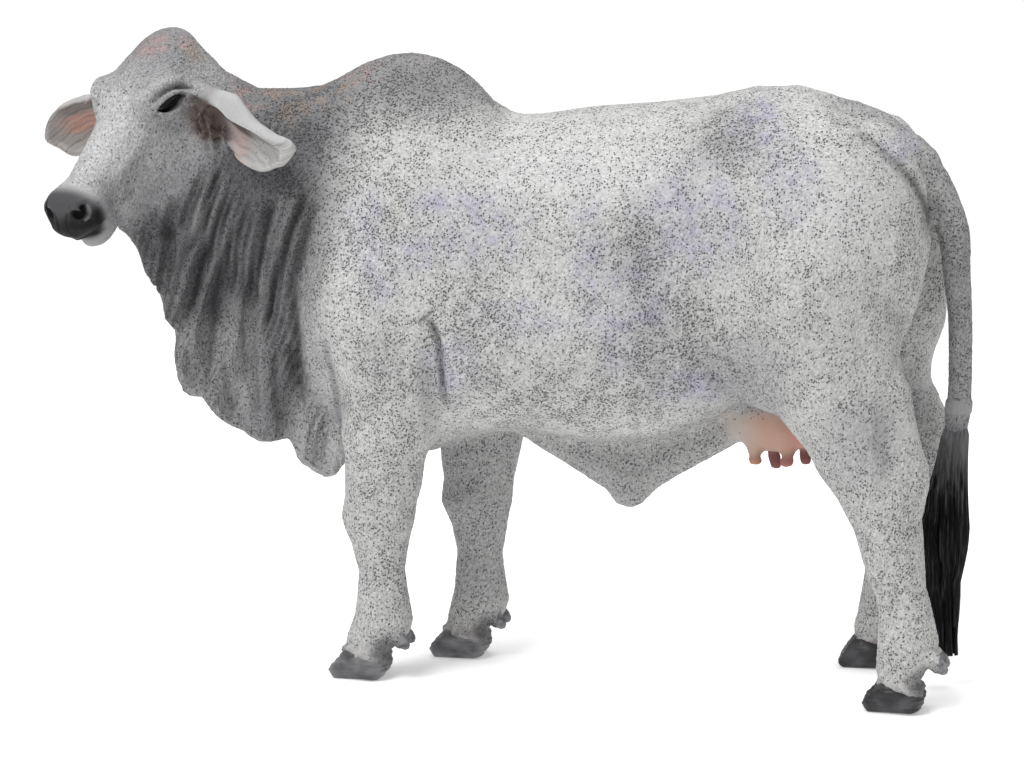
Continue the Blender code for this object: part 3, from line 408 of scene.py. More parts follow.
def places_of(mesh: Mesh) -> Array:
    """Return the places of a mesh's points, one a row."""
    return read(mesh.vertices, "co", 3)


def new_item(name: str, data: ID) -> Object:
    """Return a new object of a mesh, curve, lamp or camera, linked to the scene."""
    item = bpy.data.objects.new(name, data)
    bpy.context.scene.collection.objects.link(item)
    return item


def baked(item: Object) -> Mesh:
    """Return a new mesh of what an object's modifiers make, and remove the object and its data."""
    graph = bpy.context.evaluated_depsgraph_get()
    made = bpy.data.meshes.new_from_object(item.evaluated_get(graph))
    data = item.data
    bpy.data.objects.remove(item)
    kept_in = bpy.data.meshes if isinstance(data, Mesh) else bpy.data.curves
    kept_in.remove(data)
    return made


def join(surfaces: Iterable[Surface]) -> Surface:
    """Put several surfaces together without fusing them.

    Args:
        surfaces: The surfaces.

    Returns:
        One surface of all their points and faces.
    """
    points, faces, base = [], [], 0
    for surface in surfaces:
        points.append(surface.points)
        faces += [group + base for group in surface.faces]
        base += len(surface.points)
    return Surface(np.concatenate(points), faces)


def tube(rings: Array) -> Surface:
    """Return a closed tube.

    Args:
        rings: The points of its rings from top to bottom, as rings, spokes and coordinates.

    Returns:
        The tube, with its faces outwards where the rings turn left seen from above.
    """
    count, spokes = rings.shape[:2]
    points = np.concatenate([rings.reshape(-1, 3), [rings[0].mean(axis=0), rings[-1].mean(axis=0)]])
    number = np.arange(count * spokes).reshape(count, spokes)
    after = np.roll(number, -1, axis=1)
    quads = np.stack([number[:-1], number[1:], after[1:], after[:-1]], axis=2).reshape(-1, 4)
    top, bottom = len(points) - 2, len(points) - 1
    caps = np.concatenate([np.stack([number[0], after[0], np.full(spokes, top)], axis=1),
                           np.stack([after[-1], number[-1], np.full(spokes, bottom)], axis=1)])
    return Surface(points, [quads, caps])


def feed(node: Node, values: dict[Any, Any]) -> None:
    """Set up a node and link it.

    Args:
        node: The node.
        values: Its properties, then its inputs by name or number. A socket is linked, and a node by its
            first output.
    """
    for name, value in values.items():
        if isinstance(value, Node):
            value = value.outputs[0]
        if isinstance(value, NodeSocket):
            node.id_data.links.new(value, node.inputs[name])
        elif isinstance(name, str) and hasattr(node, name):
            setattr(node, name, value)
        else:
            node.inputs[name].default_value = value


def add_node(tree: NodeTree, kind: str, values: dict[Any, Any] | None = None) -> Node:
    """Add a node to a tree, set it up and link it.

    Args:
        tree: A shader or geometry tree.
        kind: The node's type.
        values: Its properties and inputs, as feed takes them.

    Returns:
        The new node.
    """
    node = tree.nodes.new(kind)
    feed(node, values or {})
    return node


def new_tree(name: str, sizes: dict[str, tuple[str, Any]]) -> NodeTree:
    """Return a Geometry Nodes tree with a geometry input and output, and named sizes.

    Args:
        name: The tree's name.
        sizes: The type and default value of each further input, by name.

    Returns:
        The tree, with its group input and output nodes.
    """
    tree = bpy.data.node_groups.new(name, "GeometryNodeTree")
    tree.interface.new_socket("Geometry", in_out="INPUT", socket_type="NodeSocketGeometry")
    tree.interface.new_socket("Geometry", in_out="OUTPUT", socket_type="NodeSocketGeometry")
    for label, (kind, value) in sizes.items():
        tree.interface.new_socket(label, in_out="INPUT", socket_type=kind).default_value = value
    tree.nodes.new("NodeGroupInput")
    tree.nodes.new("NodeGroupOutput")
    return tree


def add_tree(item: Object, tree: NodeTree, last: Node, values: dict[str, Any] | None = None) -> None:
    """Close a Geometry Nodes tree and put it on an object as a modifier.

    Args:
        item: The object.
        tree: The tree.
        last: Its last node, which feeds the group's output.
        values: The sizes to set, found by name and set by identifier.
    """
    tree.links.new(last.outputs[0], tree.nodes["Group Output"].inputs[0])
    modifier = item.modifiers.new(tree.name, "NODES")
    modifier.node_group = tree
    for socket in tree.interface.items_tree:
        if socket.in_out == "INPUT" and socket.name in (values or {}):
            modifier[socket.identifier] = values[socket.name]


def new_material(name: str) -> tuple[Material, NodeTree, Node]:
    """Return a new material, its tree and its shader."""
    material = bpy.data.materials.new(name)
    material.use_nodes = True
    return material, material.node_tree, material.node_tree.nodes["Principled BSDF"]


@dataclass(frozen=True)
class CoatRidges:
    """The cast hair of the coat: short low ridges that lie along the back, flank or leg.

    The same field shapes the skin's mesh and paints shade in its hollows and highlight on its crests.
    The attribute lie holds the share of each of the three ways that the ridges can lie.
    """

    length: float = 0.52            # mm along a ridge
    width: float = 0.36             # mm across it
    height: float = 0.26            # mm from hollow to crest, in the mesh
    turns: tuple[float, float, float] = (radians(8), radians(48), radians(80))

    def field(self, tree: NodeTree, place: Source, lie: Source, fineness: float = 1.0) -> Source:
        """Add the field to a shader or geometry tree.

        Args:
            tree: The tree.
            place: The point, in metres.
            lie: The three shares.
            fineness: How many times finer than the mesh's own ridges.

        Returns:
            The field, from 0 in a hollow to 1 on a crest.
        """
        shares = add_node(tree, "ShaderNodeSeparateXYZ", {0: lie}).outputs
        along, across = (fineness / (size * METRES) for size in (self.length, self.width))
        total = 0.0
        for share, turn in zip(shares, self.turns):
            turned = add_node(tree, "ShaderNodeVectorRotate", {
                "rotation_type": "Y_AXIS", "Angle": turn, 0: place})
            scaled = add_node(tree, "ShaderNodeVectorMath", {
                "operation": "MULTIPLY", 0: turned, 1: (along, across, across)})
            noise = add_node(tree, "ShaderNodeTexNoise", {
                "Scale": 1.0, "Detail": 1.0, "Roughness": 0.5, "Distortion": 0.5, "Vector": scaled})
            total = add_node(tree, "ShaderNodeMath", {
                "operation": "MULTIPLY_ADD", 0: noise, 1: share, 2: total})
        return total

    def shaped(self, surface: Surface, relief: Array, lie: Array) -> Surface:
        """Return a surface with the ridges raised on it.

        Args:
            surface: The smooth surface, in metres.
            relief: The strength at each point.
            lie: The three shares at each point.

        Returns:
            The surface of the same points and faces, moved.
        """
        strengths = np.repeat(relief[:, None], 3, axis=1)
        points = surface.worked(self.raise_on, places_of, {"relief": strengths, "lie": lie})
        return Surface(points, surface.faces)

    def raise_on(self, item: Object) -> None:
        """Add a tree to an object that raises the ridges along its normals."""
        tree = new_tree("cast_coat_ridges", {"Ridge height": ("NodeSocketFloat", 0.0001)})
        inputs = tree.nodes["Group Input"].outputs
        lie, relief = (add_node(tree, "GeometryNodeInputNamedAttribute",
                                {"data_type": "FLOAT_VECTOR", "Name": name}).outputs["Attribute"]
                       for name in ("lie", "relief"))
        size = self.field(tree, add_node(tree, "GeometryNodeInputPosition"), lie)
        strength = add_node(tree, "ShaderNodeSeparateXYZ", {0: relief})
        for operation, value in (("SUBTRACT", 0.5), ("MULTIPLY", strength),
                                 ("MULTIPLY", inputs["Ridge height"])):
            size = add_node(tree, "ShaderNodeMath", {"operation": operation, 0: size, 1: value})
        normal = add_node(tree, "GeometryNodeInputNormal")
        offset = add_node(tree, "ShaderNodeVectorMath", {"operation": "SCALE", 0: normal, "Scale": size})
        moved = add_node(tree, "GeometryNodeSetPosition", {
            "Geometry": inputs["Geometry"], "Offset": offset})
        add_tree(item, tree, moved, {"Ridge height": self.height * METRES})


@dataclass(frozen=True)
class CoatVinyl:
    """Soft PVC cast with a short ridged coat, sprayed matt grey, with a dark wash left in its pits.

    The eye gets a pale skin of soft light, roughened by ridges under a millimetre across, with
    crowds of near-black pinpricks where the wash stayed in the deepest pits. The paint is darker in
    the ridges' hollows and lighter on their crests: painted shade and highlight that follow the relief.
    """

    ridges: CoatRidges = CoatRidges()
    grit: float = 0.22              # mm across the fine tooth of the paint
    pit_spacing: float = 0.36       # mm between places where a pit may be
    pit_radius: float = 0.135       # mm
    cluster: float = 3.4            # mm across a crowd of pits
    mottle: float = 9.0             # mm across a slow change of the sprayed grey
    wash: str = "38383C"
    roughness: float = 0.56
    fineness: float = 1.6           # times finer than the mesh's ridges that the painted ones are
    wobble: float = 0.28            # mm that a pit's outline wanders
    wobble_size: float = 0.30       # mm across a bend of its outline

    def make(self) -> Material:
        """Return the paint as a material.

        Returns:
            The material. It reads the attributes paint, freckle, relief and lie of its mesh.
        """
        material, tree, shader = new_material("painted_vinyl_coat")
        place = add_node(tree, "ShaderNodeTexCoord").outputs["Object"]
        stored = {name: add_node(tree, "ShaderNodeAttribute", {"attribute_name": name}).outputs
                  for name in ("paint", "freckle", "relief", "lie")}
        paint, lie = stored["paint"]["Color"], stored["lie"]["Vector"]
        values = {"freckle": stored["freckle"]["Fac"], "relief": stored["relief"]["Fac"],
                  "ridge": self.ridges.field(tree, place, lie),
                  "fine": self.ridges.field(tree, place, lie, self.fineness),
                  "light": add_node(tree, "ShaderNodeSeparateColor", {0: paint}).outputs[1]}
        for name, size, detail, rough in (("grit", self.grit, 1.0, 0.5), ("crowd", self.cluster, 2.0, 0.62),
                                          ("mottle", self.mottle, 3.0, 0.6)):
            values[name] = add_node(tree, "ShaderNodeTexNoise", {
                "Scale": 1.0 / (size * METRES), "Detail": detail, "Roughness": rough,
                "Vector": place}).outputs["Fac"]
        values["distance"], values["draw"] = self.cells(tree, place)
        size = self.pit_radius / self.pit_spacing
        for name, source, low, high, start, end in (
                ("dots", "distance", size * 1.25, size * 0.55, 0.0, 1.0),
                ("crowding", "crowd", 0.42, 0.58, 0.42, 1.40),
                # these two are painted shade in the ridges' hollows and painted highlight on their crests
                ("ridge_tone", "ridge", 0.36, 0.60, -0.20, 0.09),
                ("fine_tone", "fine", 0.36, 0.60, -0.18, 0.09),
                ("mottle_tone", "mottle", 0.3, 0.7, -0.035, 0.035),
                ("rough", "grit", 0.3, 0.7, self.roughness - 0.06, self.roughness + 0.08),
                ("shine", "light", 0.0, 0.20, 0.08, 0.3)):
            values[name] = add_node(tree, "ShaderNodeMapRange", {
                0: values[source], 1: low, 2: high, 3: start, 4: end})
        for name, operation, first, second in (
                ("density", "MULTIPLY", "freckle", "crowding"),
                ("deep", "LESS_THAN", "draw", "density"),
                ("pits", "MULTIPLY", "dots", "deep"),
                ("cover", "MULTIPLY", "pits", 0.90),
                # tone: the painted shade and highlight of the ridges, the random mottle, and a darkening
                # where pits crowd
                ("tone", "ADD", "ridge_tone", "fine_tone"),
                ("tone", "ADD", "tone", "mottle_tone"),
                ("dulling", "MULTIPLY", "density", 0.10),
                ("tone", "SUBTRACT", "tone", "dulling"),
                ("tone", "MULTIPLY", "tone", "relief"),
                ("tone", "ADD", "tone", 1.0),
                ("ridge_height", "MULTIPLY", "ridge", 0.55),
                ("fine_height", "MULTIPLY", "fine", 0.40),
                ("height", "ADD", "ridge_height", "fine_height"),
                ("grit_height", "MULTIPLY", "grit", 0.06),
                ("height", "ADD", "height", "grit_height"),
                ("pit_depth", "MULTIPLY", "pits", 0.35),
                ("height", "SUBTRACT", "height", "pit_depth"),
                ("height", "MULTIPLY", "height", "relief")):
            values[name] = add_node(tree, "ShaderNodeMath", {
                "operation": operation, 0: values.get(first, first),
                1: values.get(second, second)})
        toned = add_node(tree, "ShaderNodeVectorMath", {
            "operation": "SCALE", 0: paint, "Scale": values["tone"]})
        washed = add_node(tree, "ShaderNodeMix", {
            "data_type": "RGBA", 0: values["cover"], 6: toned, 7: (*colour(self.wash), 1.0)}).outputs[2]
        bump = add_node(tree, "ShaderNodeBump", {
            "Strength": 0.9, "Distance": 0.00042, "Height": values["height"]})
        feed(shader, {
            "Base Color": washed, "Roughness": values["rough"], "Normal": bump,
            "Specular IOR Level": values["shine"], "IOR": 1.5})
        return material

    def cells(self, tree: NodeTree, place: Source) -> tuple[Source, Source]:
        """Scatter the places where a pit may be.

        Args:
            tree: The material's tree.
            place: The point, in metres.

        Returns:
            The distance to the nearest place, and its own random number.
        """
        bend = add_node(tree, "ShaderNodeTexNoise", {
            "Scale": 1.0 / (self.wobble_size * METRES), "Detail": 1.0, "Vector": place}).outputs["Color"]
        bend = add_node(tree, "ShaderNodeVectorMath", {
            "operation": "SCALE", 0: bend, "Scale": self.wobble * METRES})
        shifted = add_node(tree, "ShaderNodeVectorMath", {"operation": "ADD", 0: place, 1: bend})
        cells = add_node(tree, "ShaderNodeTexVoronoi", {
            "feature": "F1", "Scale": 1.0 / (self.pit_spacing * METRES), "Randomness": 1.0,
            "Vector": shifted})
        draw = add_node(tree, "ShaderNodeSeparateColor", {0: cells.outputs["Color"]})
        return cells.outputs["Distance"], draw


@dataclass(frozen=True)
class SatinPaint:
    """Satin acrylic over cast vinyl: one colour, lighter and darker in patches the size of its grain."""

    name: str
    main: str
    light: str
    dark: str
    grain: float                    # mm across a grain of its pattern
    stretch: tuple[float, float, float] = (1.0, 1.0, 1.0)
    roughness: float = 0.42
    relief: float = 0.06            # mm
    ring: float = 0.0               # mm between growth rings, or none
    fade: str = ""                  # colour that it fades to further up, or none
    fade_from: float = 0.0          # mm above the floor
    fade_to: float = 1.0            # mm above the floor
    shine: float = 0.5              # the shader's specular level

    def make(self) -> Material:
        """Return the paint as a material."""
        material, tree, shader = new_material(self.name)
        place = add_node(tree, "ShaderNodeTexCoord").outputs["Object"]
        spread = add_node(tree, "ShaderNodeMapping", {"Vector": place, "Scale": self.stretch})
        grain = add_node(tree, "ShaderNodeTexNoise", {
            "Scale": 1.0 / (self.grain * METRES), "Detail": 3.0, "Vector": spread}).outputs["Fac"]
        ramp = add_node(tree, "ShaderNodeValToRGB", {0: grain})
        stops = ramp.color_ramp.elements
        stops[0].position, stops[1].position = 0.30, 0.72
        stops[0].color, stops[1].color = (*colour(self.dark), 1.0), (*colour(self.light), 1.0)
        stops.new(0.5).color = (*colour(self.main), 1.0)
        height, paint = grain, ramp
        if self.ring:
            rings = add_node(tree, "ShaderNodeTexWave", {
                "wave_type": "BANDS", "bands_direction": "Z", "wave_profile": "SIN",
                "Scale": 0.314 / (self.ring * METRES), "Distortion": 1.5, "Vector": place})
            height = add_node(tree, "ShaderNodeMath", {
                "operation": "ADD", 0: height, 1: rings.outputs["Fac"]})
        if self.fade:
            level = add_node(tree, "ShaderNodeSeparateXYZ", {0: place}).outputs["Z"]
            wander = add_node(tree, "ShaderNodeMath", {
                "operation": "MULTIPLY_ADD", 0: grain, 1: 0.016, 2: -0.008})
            level = add_node(tree, "ShaderNodeMath", {"operation": "ADD", 0: level, 1: wander})
            share = add_node(tree, "ShaderNodeMapRange", {
                0: level, 1: self.fade_from * METRES, 2: self.fade_to * METRES, 3: 0.0, 4: 1.0})
            paint = add_node(tree, "ShaderNodeMix", {
                "data_type": "RGBA", 0: share, 6: paint, 7: (*colour(self.fade), 1.0)}).outputs[2]
        bump = add_node(tree, "ShaderNodeBump", {
            "Strength": 0.7, "Distance": self.relief * METRES, "Height": height})
        feed(shader, {
            "Base Color": paint, "Normal": bump, "Roughness": self.roughness, "IOR": 1.5,
            "Specular IOR Level": self.shine})
        return material


@dataclass(frozen=True)
class EyeLacquer:
    """Black gloss lacquer over cast vinyl: a wet, deep eye."""

    main: str = "0A090A"
    iris: str = "171210"
    cloud: float = 900.0            # patches of the iris a metre

    def make(self) -> Material:
        """Return the lacquer as a material."""
        material, tree, shader = new_material("black_eye_lacquer")
        place = add_node(tree, "ShaderNodeTexCoord").outputs["Object"]
        cloud = add_node(tree, "ShaderNodeTexNoise", {
            "Scale": self.cloud, "Detail": 2.0, "Vector": place}).outputs["Fac"]
        mix = add_node(tree, "ShaderNodeMix", {
            "data_type": "RGBA", 0: cloud, 6: (*colour(self.main), 1.0), 7: (*colour(self.iris), 1.0)})
        feed(shader, {"Base Color": mix.outputs[2], "Roughness": 0.10, "Specular IOR Level": 0.35})
        return material


def dress(item: Object, material: Material, replaced: Sequence[str]) -> None:
    """Paint a finished piece and hand it to the frame.

    Args:
        item: The piece, in metres.
        material: Its paint.
        replaced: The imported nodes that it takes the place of.
    """
    item.data.materials.clear()
    item.data.materials.append(material)
    item.data.shade_smooth()
    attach(item, BODY)
    if replaced:
        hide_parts(*replaced)
    triangles = sum(len(polygon.vertices) - 2 for polygon in item.data.polygons)
    LOG.info("%s: %d triangles", item.name, triangles)


def place_piece(name: str, surface: Surface, figure: Figure) -> Object:
    """Return an object of a surface, moved from the figure's frame to the part's, in metres."""
    moved = Surface((surface.points + figure.shift) * METRES, surface.faces)
    return new_item(name, moved.to_mesh(name))


@dataclass(frozen=True)
class Crease:
    """A groove or ridge along a bent line of the face, on both sides of it.

    A corner of its path is a place on the head: along, rise and distance from the middle.
    """

    path: tuple[tuple[float, ...], ...]
    depth: float                    # mm, negative for a ridge
    width: float                    # mm from its middle to where it fades
    fade: float = 0.15              # share of its length that it takes to begin and end
    right: float = 1.0              # share of the depth on the right side

    STEPS = 4                       # points of the curve between two corners

    def on(self, places: Array) -> Array:
        """Measure places against the line.

        Args:
            places: Places in the same numbers as the path, one a row.

        Returns:
            The share at each place, 0 off the line and 1 along its middle.
        """
        line = curve_through(self.path, self.STEPS)
        reach = 3.0 * self.width
        close = ((places > line.min(axis=0) - reach) & (places < line.max(axis=0) + reach)).all(axis=1)
        apart, place = path_distance(places[close], line)
        share = np.zeros(len(places))
        share[close] = (np.exp(-(apart / self.width) ** 2) * smooth(place, 0.0, self.fade)
                        * smooth(place, 1.0, 1.0 - self.fade))
        return share


@dataclass(frozen=True)
class Fold(Crease):
    """A groove or ridge of the neck or body, on both sides: its path is x and z, seen from the side."""

    fade: float = 0.18
    behind: float = 0.0             # mm from the middle plane that it starts at

    STEPS = 5

    def on(self, places: Array) -> Array:
        """Return the share at points of the figure, 0 off the line and 1 along its middle."""
        return super().on(places[:, (0, 2)]) * smooth(np.abs(places[:, 1]), self.behind - 1.0,
                                                      self.behind + 1.0)


NECK_FOLDS = (
    Fold(((-46.4, 79.5), (-47.7, 75.0), (-48.8, 72.7), (-49.9, 70.6), (-51.3, 68.0)), 0.60, 0.75),
    Fold(((-44.4, 80.0), (-45.0, 75.9), (-45.9, 73.3), (-47.0, 69.7), (-49.4, 66.2), (-50.9, 63.0)),
         0.70, 0.60),
    Fold(((-42.6, 76.0), (-44.0, 71.5), (-46.5, 67.0), (-48.6, 63.1), (-49.4, 59.6), (-50.5, 56.0),
          (-51.5, 53.0)), 1.00, 0.95),
    Fold(((-39.8, 75.0), (-42.0, 69.1), (-44.6, 64.5), (-46.7, 59.4), (-47.4, 55.8), (-48.3, 52.1),
          (-48.8, 47.6), (-48.9, 42.5)), 0.90, 0.95),
    Fold(((-39.4, 72.5), (-41.0, 67.6), (-43.4, 62.9), (-45.6, 57.6)), 0.50, 0.65),
    Fold(((-36.4, 74.5), (-37.7, 69.7), (-39.3, 64.6), (-41.4, 59.4), (-42.1, 55.1), (-42.2, 50.5),
          (-42.2, 46.0), (-41.8, 42.0), (-41.8, 38.0)), 0.95, 0.90, fade=0.10),
    Fold(((-31.0, 76.5), (-32.7, 72.2), (-34.5, 68.0), (-35.7, 64.1), (-37.4, 59.7), (-39.2, 55.0),
          (-40.2, 50.0)), 0.85, 0.62),
    Fold(((-29.6, 75.0), (-31.3, 70.7), (-33.0, 64.8), (-34.5, 59.9), (-34.6, 56.2), (-34.9, 51.7),
          (-35.3, 45.9), (-33.8, 39.0)), 0.75, 0.85),
    Fold(((-52.6, 70.0), (-53.0, 66.5), (-53.4, 63.6), (-54.4, 60.9), (-55.2, 57.5)), 0.60, 0.75),
    Fold(((-54.9, 74.0), (-55.9, 69.0), (-56.0, 64.0)), 0.50, 0.70),
    Fold(((-51.0, 74.0), (-51.9, 71.6), (-52.8, 69.6), (-53.4, 66.6)), 0.55, 0.80),
    Fold(((-50.0, 53.7), (-50.6, 49.4), (-50.7, 43.5)), 0.45, 0.85),
    Fold(((-45.0, 49.0), (-45.2, 44.0), (-44.6, 39.0)), 0.35, 0.70),
    Fold(((-38.2, 50.0), (-38.4, 44.0), (-37.6, 37.0)), 0.40, 0.60),
)
NECK_RIDGES = (
    Fold(((-45.2, 80.0), (-46.1, 76.5), (-47.5, 71.5), (-49.1, 65.9), (-50.3, 61.4), (-51.4, 57.9),
          (-52.2, 53.5)), -0.45, 0.70),
    Fold(((-42.9, 78.0), (-44.6, 73.0), (-46.4, 68.4), (-48.0, 65.0)), -0.35, 0.55),
    Fold(((-41.0, 73.0), (-42.5, 69.1), (-45.7, 63.8), (-47.6, 59.5), (-48.8, 56.0)), -0.45, 0.70),
    Fold(((-46.3, 55.0), (-46.9, 51.5), (-47.2, 48.0), (-46.9, 42.0)), -0.45, 0.95),
    Fold(((-38.0, 64.5), (-39.0, 60.5), (-39.8, 57.0), (-40.4, 53.2), (-40.7, 47.2), (-41.0, 42.0)),
         -0.35, 0.65),
    Fold(((-34.4, 76.0), (-35.5, 73.0), (-37.2, 69.1), (-38.3, 65.2)), -0.35, 0.70),
    Fold(((-32.6, 76.0), (-33.8, 73.0), (-35.1, 69.2), (-36.3, 65.0)), -0.30, 0.55),
    Fold(((-53.6, 62.5), (-54.0, 58.5), (-54.6, 55.5)), -0.30, 0.80),
)
BODY_FOLDS = (
    Fold(((-13.0, 58.0), (-11.9, 56.3), (-11.2, 54.8), (-10.7, 53.1), (-10.5, 49.4), (-10.4, 45.7),
          (-10.2, 42.0)), 0.95, 0.42, behind=9.0),
    Fold(((-13.9, 56.0), (-12.6, 57.1), (-11.2, 58.2)), 0.45, 0.30, behind=9.0),
    Fold(((-29.0, 53.5), (-28.4, 49.0), (-28.1, 44.0), (-28.3, 38.5), (-27.2, 35.0)), 0.70, 0.65),
    Fold(((12.5, 78.0), (13.4, 70.0), (13.2, 61.0), (11.6, 53.0)), 0.20, 1.7, behind=9.0),
    Fold(((5.6, 77.0), (6.2, 69.0), (6.0, 60.0), (4.6, 52.0)), 0.16, 1.7, behind=9.0),
    Fold(((19.0, 76.0), (20.0, 68.0), (19.6, 60.0)), 0.18, 1.7, behind=9.0),
    Fold(((26.5, 54.0), (30.5, 49.0), (34.5, 45.0)), 0.60, 1.0, behind=6.0),
    Fold(((31.0, 61.5), (33.0, 55.5), (36.5, 50.0), (40.5, 45.8)), -0.45, 1.4, behind=8.0),
    Fold(((-27.5, 66.0), (-28.8, 60.0), (-27.6, 54.0)), -0.35, 1.6, behind=6.0),
    Fold(((51.0, 60.0), (52.6, 52.0), (53.2, 45.0)), 0.35, 1.5, behind=6.0),
    Fold(((45.0, 88.2), (51.2, 84.6), (56.4, 80.2), (58.9, 76.4), (60.2, 72.4), (60.6, 68.0)), 1.15,
         0.55, behind=2.2),
)


@dataclass(frozen=True)
class Bulge:
    """A soft shift of the surface round a place of the cow, or of her head."""

    centre: Point
    radii: Point
    move: Point                     # mm
    head: bool = False              # whether all three are on the head's axes
    on_tail: bool = False           # whether the tail moves too

    def apply(self, points: Array, figure: Figure, free: Array) -> Array:
        """Shift points.

        Args:
            points: Points of the figure, one a row.
            figure: The figure's frame.
            free: How free each point is to move, from 0 to 1.

        Returns:
            The shifted points.
        """
        places = figure.on_head(points) if self.head else points
        share = ball(places, self.centre, self.radii, 0.5) * (1.0 if self.on_tail else free)
        move = np.array(self.move) @ figure.head_axes if self.head else np.array(self.move)
        return points + share[:, None] * move


BULGES = (
    Bulge((57.5, 9.0, 58.5), (7.0, 6.5, 11.0), (2.2, 0.0, 0.0)),
    Bulge((59.0, 9.0, 60.0), (5.0, 6.0, 6.0), (1.1, 0.0, 0.0)),
    Bulge((61.0, 9.0, 46.1), (6.0, 7.0, 5.5), (-1.7, 0.0, 0.0)),
    Bulge((-46.0, -4.0, 91.0), (4.0, 7.0, 5.0), (0.9, 0.0, 0.5)),
    Bulge((-57.0, -8.0, 65.0), (5.0, 9.0, 11.0), (1.5, 0.0, 0.0)),
    Bulge((62.0, 0.0, 73.5), (7.0, 5.0, 8.0), (0.85, 0.0, 0.15), on_tail=True),
    Bulge((59.0, 0.0, 81.5), (3.5, 4.0, 2.4), (0.5, 0.0, 0.4), on_tail=True),
    Bulge((0.5, 7.2, -5.2), (3.0, 1.4, 2.6), (0.0, 0.35, -0.8), head=True),
    Bulge((42.8, 0.0, 88.9), (4.0, 6.0, 3.0), (0.0, 0.0, 0.6)),
    Bulge((49.0, 0.0, 88.0), (3.5, 5.0, 3.0), (0.0, 0.0, -0.45), on_tail=True),
    Bulge((34.8, -3.0, 31.0), (2.4, 1.7, 3.2), (0.0, 0.0, 1.0)),
    Bulge((39.8, -2.6, 31.2), (2.4, 1.9, 3.2), (-0.5, 0.0, 0.5)),
    Bulge((36.8, 3.0, 32.0), (1.8, 1.8, 2.5), (0.5, 0.0, -0.7)),
    Bulge((41.8, 2.6, 32.0), (1.7, 1.7, 2.2), (0.0, 0.0, -0.3)),
    Bulge((22.4, -1.8, -1.0), (2.6, 2.2, 3.2), (0.35, -0.75, 0.0), head=True),
    Bulge((20.0, -6.8, 0.0), (3.6, 1.8, 3.0), (0.5, -0.5, 0.0), head=True),
    Bulge((0.2, 4.4, -7.8), (4.8, 4.0, 3.8), (0.1, 0.0, 2.05), head=True),
    Bulge((-4.5, 7.4, -3.4), (3.4, 2.6, 2.6), (0.0, -0.55, 0.2), head=True),
    Bulge((-9.4, 6.4, 0.0), (4.6, 3.6, 6.5), (-0.35, -0.45, 0.0), head=True),
)


BROW = Crease(((3.6, 5.2, 3.6), (2.5, 6.1, 4.9), (0.2, 6.3, 6.3), (-2.3, 5.3, 7.0), (-5.2, 3.0, 7.2)),
              -0.50, 0.95)
LID_CREASE = Crease(((2.7, 5.0, 6.5), (1.2, 5.35, 7.1), (-0.7, 5.0, 7.5), (-3.0, 3.55, 7.3),
                     (-4.2, 2.4, 7.8), (-4.1, 2.0, 9.1)), 0.62, 0.32)
UPPER_LID = Crease(((3.0, 4.6, 7.4), (1.2, 5.0, 7.5), (-0.5, 4.6, 8.3), (-2.6, 2.9, 8.1),
                    (-3.4, 1.8, 9.2), (-3.0, 1.4, 10.0)), -0.26, 0.26)
LOWER_LID = Crease(((2.9, 3.7, 7.6), (1.9, 2.6, 8.0), (0.0, 1.7, 8.3), (-2.2, 1.1, 8.5)), -0.10, 0.38)
UNDER_LID = Crease(((3.4, 2.6, 7.2), (1.6, 1.3, 8.0), (-0.6, 0.4, 8.5), (-2.8, 0.2, 9.0)), 0.24, 0.45)
TEAR_LINE = Crease(((2.6, 4.3, 7.6), (3.1, 3.7, 7.2), (3.4, 2.9, 6.5)), 0.40, 0.32)
EYE_TAIL = Crease(((-2.3, 2.5, 7.8), (-2.9, 1.8, 8.8), (-2.8, 1.3, 9.8), (-2.4, 0.9, 10.2)), 0.30, 0.26)
CHEEK_RIDGE = Crease(((4.6, 3.2, 5.4), (5.7, 2.1, 5.0), (7.9, 1.2, 4.8), (11.0, 0.9, 4.5),
                      (14.0, 0.6, 4.3)), -0.35, 0.80)
CHEEK_HOLLOW = Crease(((4.6, 0.2, 6.6), (7.0, -1.2, 5.8), (10.0, -1.8, 5.2), (13.0, -1.8, 4.6)), 0.30,
                      0.90)
TRAGUS = Crease(((-2.9, -0.6, 11.0), (-2.6, -2.0, 11.6), (-1.0, -3.8, 12.2), (1.2, -5.4, 12.6),
                 (3.4, -7.4, 12.4)), 0.70, 0.55)
TRAGUS_FRONT = Crease(((-2.0, 0.0, 9.9), (-0.6, -2.0, 10.4), (0.8, -4.2, 11.0), (2.4, -6.4, 11.4)),
                      0.40, 0.50)
MOUTH = Crease(((14.6, -3.9, 4.4), (17.6, -4.6, 3.7), (20.6, -3.7, 2.6), (22.4, -2.7, 0.2)), 0.45, 0.30)
MOUTH_CORNER = Crease(((15.6, -2.4, 4.7), (17.4, -2.8, 4.6), (19.0, -3.6, 3.8)), -0.25, 0.70)
NOSTRIL_RIM = Crease(((20.0, 2.4, 4.2), (20.3, 1.6, 4.7), (21.0, 0.7, 4.5), (21.9, 0.4, 3.8)), -0.24,
                     0.20, right=0.5)
NOSTRIL = Crease(((20.1, 2.8, 3.4), (20.7, 2.1, 3.8), (21.2, 1.6, 3.8), (21.7, 1.3, 3.3), (22.1, 1.6, 1.6)),
                 1.10, 0.72, right=0.6)
NOSTRIL_FOLD = Crease(((21.9, 2.2, 1.6), (22.6, 0.8, 0.9), (22.6, -0.8, 1.2)), 0.15, 0.30)
TUFT_ENDS = (                       # the first, middle and last strand of hair before the ear
    ((-2.1, 0.7, 9.4), (-1.2, -1.4, 9.4), (0.2, -2.8, 10.4)),
    ((-2.8, 1.3, 9.8), (-1.4, -2.8, 11.4), (0.8, -4.6, 12.1)),
    ((-3.2, 0.9, 11.8), (-2.4, -3.5, 12.7), (-0.7, -4.9, 13.5)))


